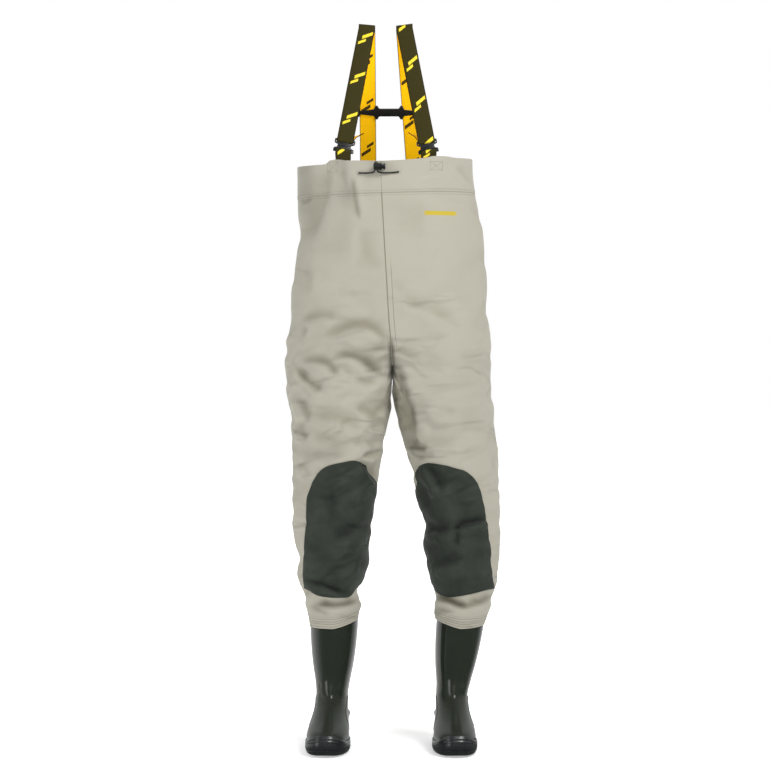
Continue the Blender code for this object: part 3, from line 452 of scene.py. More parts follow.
def column(rows: Sequence[NamedTuple], key: str, name: str, at: np.ndarray) -> np.ndarray:
    """Read a column on a smooth curve through every row of a table.

    Args:
        rows: Table sorted by its key.
        key: Name of the key column.
        name: Name of the column to read.
        at: Keys to read it at.

    Returns:
        One value for each key.
    """
    keys = np.array([getattr(row, key) for row in rows], float)
    values = np.array([getattr(row, name) for row in rows], float)
    before = np.maximum(np.arange(len(rows)) - 1, 0)
    after = np.minimum(np.arange(len(rows)) + 1, len(rows) - 1)
    slopes = (values[after] - values[before]) / (keys[after] - keys[before])
    where = np.clip(np.asarray(at, float), keys[0], keys[-1])
    i = np.clip(np.searchsorted(keys, where) - 1, 0, len(rows) - 2)
    span = keys[i + 1] - keys[i]
    t = (where - keys[i]) / span
    start = (1 + 2 * t) * (1 - t) ** 2 * values[i] + t * (1 - t) ** 2 * span * slopes[i]
    end = t * t * (3 - 2 * t) * values[i + 1] + t * t * (t - 1) * span * slopes[i + 1]
    return start + end


def flowing_line(points: Sequence[Sequence[float]], count: int) -> np.ndarray:
    """Resample a smooth line through points evenly along its length.

    Args:
        points: Corner points, two or more.
        count: How many points to return.

    Returns:
        Array of evenly spaced points.
    """
    knots = np.asarray(points, float)
    padded = np.vstack([2 * knots[0] - knots[1], knots, 2 * knots[-1] - knots[-2]])
    fine = []
    for k in range(len(knots) - 1):
        a, b, c, d = padded[k : k + 4]
        for t in np.linspace(0, 1, 16, endpoint=False):
            tangent = (c - a) * t + (2 * a - 5 * b + 4 * c - d) * t * t + (3 * b - a - 3 * c + d) * t**3
            fine.append(b + tangent / 2)
    fine.append(knots[-1])
    return even_line(np.array(fine), count)


def even_line(points: np.ndarray, count: int) -> np.ndarray:
    """Resample a polyline evenly along its length.

    Args:
        points: Points of the line.
        count: How many points to return.

    Returns:
        The spaced points.
    """
    along = run_lengths(points)
    at = np.linspace(0, along[-1], count)
    return np.column_stack([np.interp(at, along, points[:, k]) for k in range(points.shape[1])])


def vertex_normals(points: np.ndarray, quads: np.ndarray) -> np.ndarray:
    """Mean normal of the faces round each vertex.

    Args:
        points: Vertex positions.
        quads: Four vertex numbers a face.

    Returns:
        Unit normals.
    """
    corners = points[quads]
    across = np.cross(corners[:, 2] - corners[:, 0], corners[:, 3] - corners[:, 1])
    normals = np.zeros_like(points)
    for k in range(4):
        np.add.at(normals, quads[:, k], across)
    return unit(normals)


def grid_quads(rows: int, columns: int, closed: bool) -> np.ndarray:
    """Faces of a grid of vertices numbered row by row.

    Args:
        rows: Number of rows.
        columns: Vertices in a row.
        closed: Whether the last vertex of a row joins the first.

    Returns:
        Four vertex numbers a face.
    """
    r, c = np.meshgrid(np.arange(rows - 1), np.arange(columns if closed else columns - 1), indexing="ij")
    after = (c + 1) % columns
    corners = (r * columns + c, r * columns + after, (r + 1) * columns + after, (r + 1) * columns + c)
    return np.stack([corner.ravel() for corner in corners], axis=1)


def rim_faces(fine: np.ndarray, coarse: np.ndarray, flip: bool) -> list[list[int]]:
    """Faces between a closed ring and one inside it with half as many vertices.

    Args:
        fine: Vertex numbers of the outer ring.
        coarse: Those of the inner ring.
        flip: Whether to turn the faces over.

    Returns:
        Faces of five corners.
    """
    corner, between = fine[::2], fine[1::2]
    faces = np.stack([coarse, np.roll(coarse, -1), np.roll(corner, -1), between, corner], axis=1)
    return (faces[:, ::-1] if flip else faces).tolist()


def crinkled(points: np.ndarray, size: tuple[float, float, float]) -> np.ndarray:
    """Fine creases that run across a cloth: flat facets with narrow valleys between them.

    Args:
        points: Points of the cloth.
        size: Size of a facet along x, y and z.

    Returns:
        Heights, 0 in a valley to 1 on a facet.
    """
    lean, finer, fine_share, valley = math.radians(17), 2.3, 0.3, 0.28
    x, y, z = points.T
    across, up = x * math.cos(lean) + z * math.sin(lean), z * math.cos(lean) - x * math.sin(lean)
    spots = map(Vector, np.column_stack([across, y, up]) / size)
    cloud = [noise.noise(spot) + fine_share * noise.noise(spot * finer) for spot in spots]
    return 1 - bell(np.array(cloud), 0, valley)


def soft_noise(points: np.ndarray, size: float, offset: float) -> np.ndarray:
    """Smooth noise between about -1 and 1 at each point, with lumps of a given size."""
    scaled = points / size + offset
    return np.array([noise.noise(Vector(point)) for point in scaled])


def placed(points: np.ndarray) -> np.ndarray:
    """From table millimetres to the frame's metres."""
    return (np.asarray(points, float) + STAND_SHIFT) * MM


def linked(name: str, data: bpy.types.ID) -> bpy.types.Object:
    """Add an object to the scene.

    Args:
        name: Name of the object.
        data: Its mesh, curve, lamp or camera.

    Returns:
        The object.
    """
    item = bpy.data.objects.new(name, data)
    bpy.context.scene.collection.objects.link(item)
    return item


def crisp(mesh: bpy.types.Mesh, degrees: float) -> None:
    """Shade a mesh smooth, with crisp edges past an angle."""
    mesh.shade_smooth()
    mesh.set_sharp_from_angle(angle=math.radians(degrees))


def mesh_piece(
    name: str,
    points: np.ndarray,
    faces: Sequence[Sequence[int]],
    material: bpy.types.Material,
    uv: np.ndarray | None = None,
    sharp: float = 50.0,
) -> bpy.types.Object:
    """Make a smooth-shaded object at the origin.

    Args:
        name: Name of the piece.
        points: Vertices in table millimetres.
        faces: Vertex numbers of each face.
        material: Its finish.
        uv: One texture coordinate a vertex or a face corner, if a pattern follows the surface.
        sharp: Angle in degrees past which an edge stays crisp.

    Returns:
        The new object, linked to the scene.
    """
    mesh = bpy.data.meshes.new(name)
    mesh.from_pydata(placed(points).tolist(), [], [list(map(int, face)) for face in faces])
    if uv is not None:
        layer = mesh.uv_layers.new(name="weave")
        loops = np.zeros(len(mesh.loops), int)
        mesh.loops.foreach_get("vertex_index", loops)
        corners = np.asarray(uv, np.float32)
        corners = corners[loops] if len(corners) == len(points) else corners
        layer.data.foreach_set("uv", corners.ravel())
    crisp(mesh, sharp)
    mesh.materials.append(material)
    mesh.update()
    return linked(name, mesh)


def point_values(piece: bpy.types.Object, name: str, values: np.ndarray) -> None:
    """Store one number a vertex for the piece's material to read."""
    attribute = piece.data.attributes.new(name, "FLOAT", "POINT")
    attribute.data.foreach_set("value", np.asarray(values, np.float32))


def dress(piece: bpy.types.Object, slot: str, *nodes: str, body: str = "waders") -> bpy.types.Object:
    """Let a finished piece ride on its body and hide the solids that it stands for.

    Args:
        piece: The finished piece.
        slot: Not used.
        nodes: Solids that it stands for.
        body: Body that it moves with.

    Returns:
        The same piece.
    """
    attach(piece, body)
    if nodes:
        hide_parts(*nodes)
    LOG.info("%s: %d faces", piece.name, len(piece.data.polygons))
    return piece


# Finishes


NOISE, MIX, MATH, RANGE = "ShaderNodeTexNoise", "ShaderNodeMix", "ShaderNodeMath", "ShaderNodeMapRange"
BUMP, COORDS, SPLIT = "ShaderNodeBump", "ShaderNodeTexCoord", "ShaderNodeSeparateXYZ"
ATTRIBUTE, UV_MAP = "ShaderNodeAttribute", "ShaderNodeUVMap"
RGBA = {"data_type": "RGBA"}
Socket = bpy.types.NodeSocket
Tree = bpy.types.NodeTree


def linear(hex_colour: str) -> tuple[float, float, float, float]:
    """Turn an sRGB hex colour to linear RGBA.

    Args:
        hex_colour: Colour as #rrggbb.

    Returns:
        Red, green, blue and a full alpha.
    """
    parts = [int(hex_colour[k : k + 2], 16) / 255 for k in (1, 3, 5)]
    red, green, blue = (v / 12.92 if v <= 0.04045 else ((v + 0.055) / 1.055) ** 2.4 for v in parts)
    return (red, green, blue, 1.0)


def add(
    tree: Tree,
    kind: str,
    settings: dict[str | int, object] | None = None,
    links: dict[str | int, Socket] | None = None,
    out: str | int = 0,
) -> Socket | None:
    """Add a node with its settings and links.

    Args:
        tree: Tree to add it to.
        kind: Blender's name of the node type.
        settings: Properties by name, and input values by name or number; a colour may be a hex value.
        links: Sockets to join to its inputs.
        out: Which of its outputs is wanted.

    Returns:
        That output, if the node has any.
    """
    node = tree.nodes.new(kind)
    for name, value in (settings or {}).items():
        value = linear(value) if isinstance(value, str) and value.startswith("#") else value
        if isinstance(name, str) and name in node.bl_rna.properties:
            setattr(node, name, value)
        else:
            node.inputs[name].default_value = value
    for name, socket in (links or {}).items():
        tree.links.new(socket, node.inputs[name])
    return node.outputs[out] if node.outputs else None


def new_material(name: str) -> tuple[bpy.types.Material, Tree, bpy.types.Node]:
    """Start a material; gives it with its tree and its surface shader.

    Args:
        name: Name of the material.

    Returns:
        The material, its tree and its shader.
    """
    material = bpy.data.materials.new(name)
    material.use_nodes = True
    return material, material.node_tree, material.node_tree.nodes["Principled BSDF"]


def surface(shader: bpy.types.Node, links: dict[str, Socket], values: dict[str, float]) -> None:
    """Join patterns to the surface shader and set its even values.

    Args:
        shader: The surface shader.
        links: Pattern for each input.
        values: Even value for each input.
    """
    for name, socket in links.items():
        shader.id_data.links.new(socket, shader.inputs[name])
    for name, value in values.items():
        shader.inputs[name].default_value = value


def within(tree: Tree, socket: Socket, at: float, half: float, soft: float) -> Socket:
    """Mask of the values near one value.

    Args:
        tree: The material's tree.
        socket: Value to look at.
        at: Middle of the band.
        half: Half its width.
        soft: Width of its soft edge.

    Returns:
        Socket that is 1 inside the band and 0 outside.
    """
    offset = add(tree, MATH, {"operation": "SUBTRACT", 1: at}, {0: socket})
    size = add(tree, MATH, {"operation": "ABSOLUTE"}, {0: offset})
    return add(tree, RANGE, {"From Min": half + soft, "From Max": half}, {"Value": size})


def combined(tree: Tree, operation: str, *sockets: Socket) -> Socket:
    """Fold several masks in one with the same operation.

    Args:
        tree: The material's tree.
        operation: Math operation between two masks.
        sockets: The masks.

    Returns:
        Socket of the whole.
    """
    whole = sockets[0]
    for socket in sockets[1:]:
        whole = add(tree, MATH, {"operation": operation}, {0: whole, 1: socket})
    return whole


@dataclass(frozen=True)
class Grained:
    """Even finish of two tones in a fine grain, which also gives its relief."""

    name: str
    dark: str
    light: str
    grain: float
    roughness: float
    relief: float = 0.2
    depth: float = 0.3
    detail: float = 3.0

    def material(self) -> bpy.types.Material:
        """Build the material; grains under 1 mm are drawn at 1 mm so that they show.

        Returns:
            The finished material.
        """
        material, tree, shader = new_material(self.name)
        coords = add(tree, COORDS, out="Object")
        size = {"Scale": 1000 / max(self.grain, 1.0), "Detail": self.detail, "Roughness": 0.6}
        grain = add(tree, NOISE, size, {"Vector": coords})
        colour = add(tree, MIX, {**RGBA, 6: self.dark, 7: self.light}, {0: grain}, 2)
        normal = add(tree, BUMP, {"Strength": self.relief, "Distance": self.depth * MM}, {"Height": grain})
        surface(shader, {"Base Color": colour, "Normal": normal}, {"Roughness": self.roughness})
        return material


# Needled felt looks hairy and quite dull.
FELT = Grained("needled_felt", "#3c3c39", "#6b6b66", 3.0, 0.95, 0.5, 1.0, 6.0)
# Acetal comes black and satin from a spark-eroded mould.
ACETAL = Grained("moulded_acetal", "#121313", "#242525", 0.2, 0.36, 0.15, 0.3)
# Spun polyester thread is matte, a shade darker than the cloth.
THREAD = Grained("polyester_thread", "#7a7463", "#948e7b", 1.5, 0.8, 0.1, 0.2)


def fine_creases(tree: Tree, coords: Socket, scale: tuple[float, float, float]) -> Socket:
    """Height of the fine creases across a cloth: flat facets with valleys between them.

    Args:
        tree: Node tree.
        coords: Coordinates of the piece in metres.
        scale: Creases for each metre along x, y and z.

    Returns:
        The height, 0 in a valley and 1 on a facet.
    """
    lie = {"Scale": scale, "Rotation": (0.0, 0.3, 0.0)}
    along = add(tree, "ShaderNodeMapping", lie, {"Vector": coords}, "Vector")
    even = {"Scale": 1.0, "Detail": 1.5, "Roughness": 0.4, "Distortion": 0.5}
    cloud = add(tree, NOISE, even, {"Vector": along})
    signed = add(tree, MATH, {"operation": "SUBTRACT", 1: 0.5}, {0: cloud})
    ridge = add(tree, MATH, {"operation": "ABSOLUTE"}, {0: signed})
    return add(tree, RANGE, {"From Max": 0.3, "interpolation_type": "SMOOTHERSTEP"}, {"Value": ridge})


@dataclass(frozen=True)
class CoatedNylon:
    """Plain-woven nylon with a rubber back: dull and soft, pressed at its seams, with a printed bar and
    painted shade in its folds.
    """

    name: str = "coated_nylon"
    light: str = "#b1aea0"
    dark: str = "#aaa698"
    # Painted shade: the fold colour darkens the troughs of the folds and the inner wall; the colour after
    # it darkens the crotch cleft, deep folds and parts turned away from the light.
    fold: str = "#767059"
    pit: str = "#15120a"
    seam: str = "#7f7a69"
    ink: str = "#c2ac30"
    thread: float = 1.6
    crumple: float = 30.0
    crease_scale: tuple[float, float, float] = (8.0, 8.0, 19.0)
    bar_at: tuple[float, float] = (0.106, 1.2105)
    bar_half: tuple[float, float] = (0.033, 0.0036)
    band_seam: float = 1.256
    band_share: float = 0.55
    flap_at: float = 0.0115
    hem_lines: tuple[float, ...] = (0.2725, 0.2785, 0.2845, 0.2905)

    def material(self) -> bpy.types.Material:
        """Build the material; threads are drawn coarser than 0.4 mm so that they show.

        Returns:
            The finished material.
        """
        material, tree, shader = new_material(self.name)
        coords = add(tree, COORDS, out="Object")
        mottle = add(tree, NOISE, {"Scale": 1 / 0.09, "Detail": 3.0}, {"Vector": coords})
        colour = add(tree, MIX, {**RGBA, 6: self.dark, 7: self.light}, {0: mottle}, 2)
        names = ("trough", "pit", "rest_z")
        trough, pit, rest = (add(tree, ATTRIBUTE, {"attribute_name": name}, out="Fac") for name in names)
        lines = self.seams(tree, rest)
        bar = self.bar(tree, coords)
        # The first two tones are painted shade; the seams and the printed bar are the cloth's own colours.
        tones = ((trough, self.fold), (pit, self.pit), (lines, self.seam), (bar, self.ink))
        for share, tone in tones:
            colour = add(tree, MIX, {**RGBA, 7: tone}, {0: share, 6: colour}, 2)
        uv = add(tree, UV_MAP, {"uv_map": "weave"})
        threads = []
        for direction in "XY":
            weave = {"bands_direction": direction, "Scale": 1000 / self.thread * 0.05, "Distortion": 0.4}
            threads.append(add(tree, "ShaderNodeTexWave", weave, {"Vector": uv}, "Fac"))
        height = combined(tree, "MULTIPLY", *threads)
        fine = add(tree, BUMP, {"Strength": 0.1, "Distance": 0.0004}, {"Height": height})
        crumple = {"Scale": 1000 / self.crumple, "Detail": 2.5, "Roughness": 0.45, "Distortion": 0.6}
        lumps = add(tree, NOISE, crumple, {"Vector": coords})
        soft = add(tree, BUMP, {"Strength": 0.16, "Distance": 0.004}, {"Height": lumps, "Normal": fine})
        upwards = {"From Min": 0.9, "From Max": 1.1, "To Min": 1.0, "To Max": 0.2}
        calm = add(tree, RANGE, upwards, {"Value": rest})
        facets = combined(tree, "MULTIPLY", fine_creases(tree, coords, self.crease_scale), calm)
        creased = add(tree, BUMP, {"Strength": 0.62, "Distance": 0.014}, {"Height": facets, "Normal": soft})
        pressed = {"Strength": 0.5, "Distance": 0.0012, "invert": True}
        normal = add(tree, BUMP, pressed, {"Height": lines, "Normal": creased})
        even = {"Roughness": 0.62, "Specular IOR Level": 0.3, "Sheen Weight": 0.08}
        surface(shader, {"Base Color": colour, "Normal": normal}, even)
        return material

    def seams(self, tree: Tree, rest: Socket) -> Socket:
        """Mask of the pressed seams and hem lines.

        Args:
            tree: The material's tree.
            rest: Height of the cloth's rings.

        Returns:
            Socket that is 1 on a line.
        """
        names = ("front_gap", "back_gap")
        front, back = (add(tree, ATTRIBUTE, {"attribute_name": name}, out="Fac") for name in names)
        flap_line = within(tree, front, self.flap_at, 0.0002, 0.0006)
        flap = combined(tree, "MULTIPLY", flap_line, within(tree, rest, 1.0, 0.08, 0.03))
        seam_top = self.band_seam + 0.004
        faint = {"From Min": self.band_seam, "From Max": seam_top, "To Min": 1.0, "To Max": 0.4}
        under_band = add(tree, RANGE, faint, {"Value": rest})
        middle = combined(tree, "MULTIPLY", within(tree, front, 0.0, 0.0007, 0.0008), under_band)
        level = within(tree, rest, self.band_seam, 0.0005, 0.0009)
        band = add(tree, MATH, {"operation": "MULTIPLY", 1: self.band_share}, {0: level})
        parts = [middle, within(tree, back, 0.0, 0.0006, 0.0008), flap, band]
        parts += [within(tree, rest, z, 0.0002, 0.0007) for z in self.hem_lines]
        return combined(tree, "MAXIMUM", *parts)

    def bar(self, tree: Tree, coords: Socket) -> Socket:
        """Mask of the plain printed bar on the chest, soft at its rim.

        Args:
            tree: The material's tree.
            coords: Object coordinates.

        Returns:
            The mask.
        """
        place = add(tree, SPLIT, None, {0: coords}).node.outputs
        across = within(tree, place["X"], self.bar_at[0], self.bar_half[0], 0.006)
        up = within(tree, place["Z"], self.bar_at[1], self.bar_half[1], 0.0022)
        front = add(tree, MATH, {"operation": "LESS_THAN", 1: 0.0}, {0: place["Y"]})
        return combined(tree, "MULTIPLY", across, up, front)


@dataclass(frozen=True)
class PatchNylon:
    """Heavy coated nylon of the knee patches: dark green, matte, a tight weave rubbed a little paler."""

    name: str = "patch_nylon"
    base: str = "#2b312a"
    rubbed: str = "#373e35"
    # Painted shade for the troughs of the patch's folds.
    fold: str = "#141713"
    thread: float = 2.0
    crease_scale: tuple[float, float, float] = (10.0, 10.0, 17.0)

    def material(self) -> bpy.types.Material:
        """Build the material; the 0.7 mm weave is drawn at 2 mm so that it shows.

        Returns:
            The finished material.
        """
        material, tree, shader = new_material(self.name)
        coords = add(tree, COORDS, out="Object")
        rub = add(tree, NOISE, {"Scale": 1 / 0.06, "Detail": 4.0, "Roughness": 0.6}, {"Vector": coords})
        share = add(tree, RANGE, {"From Min": 0.35, "From Max": 0.7}, {"Value": rub})
        colour = add(tree, MIX, {**RGBA, 6: self.base, 7: self.rubbed}, {0: share}, 2)
        # Painted shade in the troughs of the folds.
        trough = add(tree, ATTRIBUTE, {"attribute_name": "trough"}, out="Fac")
        colour = add(tree, MIX, {**RGBA, 7: self.fold}, {0: trough, 6: colour}, 2)
        uv = add(tree, UV_MAP, {"uv_map": "weave"})
        checks = add(tree, "ShaderNodeTexChecker", {"Scale": 1000 / self.thread}, {"Vector": uv}, "Fac")
        fine = add(tree, BUMP, {"Strength": 0.12, "Distance": 0.0004}, {"Height": checks})
        lumps = add(tree, NOISE, {"Scale": 1 / 0.035, "Detail": 2.0}, {"Vector": coords})
        soft = add(tree, BUMP, {"Strength": 0.3, "Distance": 0.004}, {"Height": lumps, "Normal": fine})
        facets = fine_creases(tree, coords, self.crease_scale)
        normal = add(tree, BUMP, {"Strength": 0.55, "Distance": 0.014}, {"Height": facets, "Normal": soft})
        even = {"Roughness": 0.7, "Specular IOR Level": 0.3, "Sheen Weight": 0.06}
        surface(shader, {"Base Color": colour, "Normal": normal}, even)
        return material


@dataclass(frozen=True)
class BootPvc:
    """Injection-moulded PVC of the boots: dark green, wet gloss on the shaft, grained on the foot."""

    name: str = "moulded_pvc_green"
    base: str = "#252b23"
    foot: str = "#2b3028"
    foot_z: tuple[float, float, float] = (0.07, 0.03, 0.08)

    def material(self) -> bpy.types.Material:
        """Build the material; gloss comes from the coat, the foot's grain from fine noise.

        Returns:
            The finished material.
        """
        material, tree, shader = new_material(self.name)
        coords = add(tree, COORDS, out="Object")
        height = add(tree, SPLIT, None, {0: coords}).node.outputs["Z"]
        low = within(tree, height, *self.foot_z)
        flow = add(tree, NOISE, {"Scale": 1 / 0.04, "Detail": 3.0}, {"Vector": coords})
        tint = add(tree, RANGE, {"From Min": 0.3, "From Max": 0.7, "To Min": 0.6}, {"Value": flow})
        foot = combined(tree, "MULTIPLY", low, tint)
        colour = add(tree, MIX, {**RGBA, 6: self.base, 7: self.foot}, {0: foot}, 2)
        rough = add(tree, RANGE, {"To Min": 0.14, "To Max": 0.28}, {"Value": low})
        coat = add(tree, RANGE, {"To Min": 0.35, "To Max": 0.02}, {"Value": low})
        grain = add(tree, NOISE, {"Scale": 1 / 0.003, "Detail": 2.0}, {"Vector": coords})
        grained = combined(tree, "MULTIPLY", grain, low)
        fine = add(tree, BUMP, {"Strength": 0.25, "Distance": 0.0006}, {"Height": grained})
        waves = add(tree, NOISE, {"Scale": 1 / 0.07, "Detail": 1.0}, {"Vector": coords})
        normal = add(tree, BUMP, {"Strength": 0.2, "Distance": 0.004}, {"Height": waves, "Normal": fine})
        shine = add(tree, RANGE, {"To Min": 0.35, "To Max": 0.2}, {"Value": low})
        links = {"Base Color": colour, "Roughness": rough, "Normal": normal, "Coat Weight": coat}
        surface(shader, {**links, "Specular IOR Level": shine}, {"Coat Roughness": 0.1})
        return material


@dataclass(frozen=True)
class SolePvc:
    """Harder PVC of the soles: near black, satin, a little dust where it meets the ground."""

    name: str = "moulded_pvc_black"
    base: str = "#1d2122"
    dust: str = "#4d4f4b"

    def material(self) -> bpy.types.Material:
        """Build the material; dust gathers low down.

        Returns:
            The finished material.
        """
        material, tree, shader = new_material(self.name)
        coords = add(tree, COORDS, out="Object")
        height = add(tree, SPLIT, None, {0: coords}).node.outputs["Z"]
        low = add(tree, RANGE, {"From Min": 0.014, "From Max": 0.0, "To Max": 0.5}, {"Value": height})
        grit = add(tree, NOISE, {"Scale": 1 / 0.006, "Detail": 5.0, "Roughness": 0.65}, {"Vector": coords})
        dusty = combined(tree, "MULTIPLY", low, grit)
        colour = add(tree, MIX, {**RGBA, 6: self.base, 7: self.dust}, {0: dusty}, 2)
        spread = {"From Min": 0.3, "From Max": 0.7, "To Min": 0.3, "To Max": 0.5}
        rough = add(tree, RANGE, spread, {"Value": grit})
        normal = add(tree, BUMP, {"Strength": 0.1, "Distance": 0.0006}, {"Height": grit})
        even = {"Coat Weight": 0.4, "Coat Roughness": 0.22}
        surface(shader, {"Base Color": colour, "Roughness": rough, "Normal": normal}, even)
        return material


@dataclass(frozen=True)
class Webbing:
    """Jacquard webbing: olive outside, fluorescent yellow inside with a faint painted glow, ribbed, with
    woven slanted bars.
    """

    name: str = "jacquard_webbing"
    olive: str = "#37320f"
    yellow: str = "#ffc400"
    lemon: str = "#f6dc3a"
    brown: str = "#453610"
    selvedge: str = "#1e1a0b"
    rib: float = 2.2
    repeat: float = 104.0
    inner_shift: float = 0.024
    slant: float = 0.024
    # Emission of the inner face: painted light that brightens the yellow; the strap is no lamp.
    glow: float = 0.16
    bar_places: tuple[tuple[float, ...], ...] = ((0.44, 0.038, 0.62, 0.28), (0.55, 0.03, 0.36, 0.2))

    def material(self) -> bpy.types.Material:
        """Build the material on the strap's UV: U is the outer face to 1, the inner to 2; V is metres.

        Returns:
            The finished material.
        """
        material, tree, shader = new_material(self.name)
        uv = add(tree, UV_MAP, {"uv_map": "weave"})
        place = add(tree, SPLIT, None, {0: uv}).node.outputs
        inner = add(tree, MATH, {"operation": "GREATER_THAN", 1: 1.0}, {0: place["X"]})
        across = add(tree, MATH, {"operation": "FRACT"}, {0: place["X"]})
        shift = {"operation": "MULTIPLY_ADD", 1: self.inner_shift}
        along = add(tree, MATH, shift, {0: inner, 2: place["Y"]})
        bars = self.bars(tree, across, along)
        outside = add(tree, MIX, {**RGBA, 6: self.olive, 7: self.lemon}, {0: bars}, 2)
        inside = add(tree, MIX, {**RGBA, 6: self.yellow, 7: self.brown}, {0: bars}, 2)
        colour = add(tree, MIX, RGBA, {0: inner, 6: outside, 7: inside}, 2)
        middle = within(tree, across, 0.5, 0.458, 0.014)
        colour = add(tree, MIX, {**RGBA, 6: self.selvedge}, {0: middle, 7: colour}, 2)
        weave = {"bands_direction": "Y", "Scale": 1000 / self.rib * 0.05 * math.pi, "Distortion": 0.6}
        ribs = add(tree, "ShaderNodeTexWave", weave, {"Vector": uv}, "Fac")
        normal = add(tree, BUMP, {"Strength": 0.35, "Distance": 0.0006}, {"Height": ribs})
        # The inner face glows a little: painted light.
        glow = add(tree, MATH, {"operation": "MULTIPLY", 1: self.glow}, {0: inner})
        links = {"Base Color": colour, "Emission Color": colour, "Emission Strength": glow}
        surface(shader, {**links, "Normal": normal}, {"Roughness": 0.78, "Specular IOR Level": 0.18})
        return material

    def bars(self, tree: Tree, across: Socket, along: Socket) -> Socket:
        """Mask of two short slanted bars in every repeat, each placed and sized along and across.

        Args:
            tree: The material's tree.
            across: Place across the strap, 0 to 1.
            along: Place along it in metres.

        Returns:
            The mask.
        """
        slant = add(tree, MATH, {"operation": "MULTIPLY_ADD", 1: self.slant}, {0: across, 2: along})
        cycle = add(tree, MATH, {"operation": "MULTIPLY", 1: 1000 / self.repeat}, {0: slant})
        share = add(tree, MATH, {"operation": "FRACT"}, {0: cycle})
        made = []
        for middle, half, centre, reach in self.bar_places:
            level = within(tree, share, middle, half, 0.008)
            made.append(combined(tree, "MULTIPLY", level, within(tree, across, centre, reach, 0.02)))
        return combined(tree, "MAXIMUM", *made)


@dataclass(frozen=True)
class BraidedCord:
    """Braided polyester cord: black, matte, strands that cross on a slant."""

    name: str = "braided_polyester"
    base: str = "#121313"
    strand: str = "#2c2d2d"

    def material(self) -> bpy.types.Material:
        """Build the material on the cord's own UV: turns in U, metres along in V.

        Returns:
            The finished material.
        """
        material, tree, shader = new_material(self.name)
        uv = add(tree, UV_MAP, {"uv_map": "weave"})
        stretched = add(tree, "ShaderNodeMapping", {"Scale": (6.0, 500.0, 1.0)}, {"Vector": uv})
        turn = {"Rotation": (0, 0, math.radians(45))}
        slanted = add(tree, "ShaderNodeMapping", turn, {"Vector": stretched})
        checks = add(tree, "ShaderNodeTexChecker", {"Scale": 1.0}, {"Vector": slanted}, "Fac")
        colour = add(tree, MIX, {**RGBA, 6: self.base, 7: self.strand}, {0: checks}, 2)
        normal = add(tree, BUMP, {"Strength": 0.4, "Distance": 0.0004}, {"Height": checks})
        surface(shader, {"Base Color": colour, "Normal": normal}, {"Roughness": 0.82})
        return material


@dataclass(frozen=True)
class StudioPaper:
    """White paper that glows away from the boots; towards the front it turns dark in glossy rays, a painted
    dark reflection that keeps its image off their gloss.
    """

    name: str = "studio_paper"
    white: str = "#fdfdfd"
    shade: str = "#f7f7f7"
    glow: float = 0.42
    bright: tuple[float, float] = (-0.02, 0.7)
    towards: tuple[float, float, float] = (-0.35, 1.0, 0.0)
    lit: tuple[float, float] = (0.2, 0.62)

    def material(self) -> bpy.types.Material:
        """Build the material with a faint paper tone.

        Returns:
            The finished material.
        """
        material, tree, shader = new_material(self.name)
        coords = add(tree, COORDS, out="Object")
        tone = add(tree, NOISE, {"Scale": 1.5, "Detail": 2.0}, {"Vector": coords})
        colour = add(tree, MIX, {**RGBA, 6: self.shade, 7: self.white}, {0: tone}, 2)
        ray = add(tree, "ShaderNodeVectorMath", {"operation": "NORMALIZE"}, {0: coords})
        facing = {"operation": "DOT_PRODUCT", 1: self.towards}
        depth = add(tree, "ShaderNodeVectorMath", facing, {0: ray}, "Value")
        ends = {"From Min": self.bright[0], "From Max": self.bright[1], "To Min": 0.95, "To Max": 0.2}
        dark = add(tree, RANGE, ends, {"Value": depth})
        # Painted dark reflection: only in glossy rays, the paper towards the front turns near black and
        # stops glowing.
        dark_in_gloss = combined(tree, "MULTIPLY", dark, add(tree, "ShaderNodeLightPath", out="Is Glossy Ray"))
        colour = add(tree, MIX, {**RGBA, 7: "#060606"}, {0: dark_in_gloss, 6: colour}, 2)
        away = add(tree, "ShaderNodeVectorMath", {"operation": "LENGTH"}, {0: coords}, "Value")
        lit = {"From Min": self.lit[0], "From Max": self.lit[1]}
        far = add(tree, RANGE, lit, {"Value": away})
        seen = combined(tree, "MULTIPLY", far, add(tree, "ShaderNodeLightPath", out="Is Camera Ray"))
        lift = add(tree, RANGE, {"To Min": self.glow, "To Max": 1.0}, {"Value": seen})
        share = add(tree, RANGE, {"To Min": 1.0, "To Max": 0.0}, {"Value": dark_in_gloss})
        glow = combined(tree, "MULTIPLY", lift, share)
        surface(shader, {"Base Color": colour, "Emission Strength": glow}, {"Roughness": 0.9})
        shader.inputs["Emission Color"].default_value = (1.0, 1.0, 1.0, 1.0)
        return material


# Body


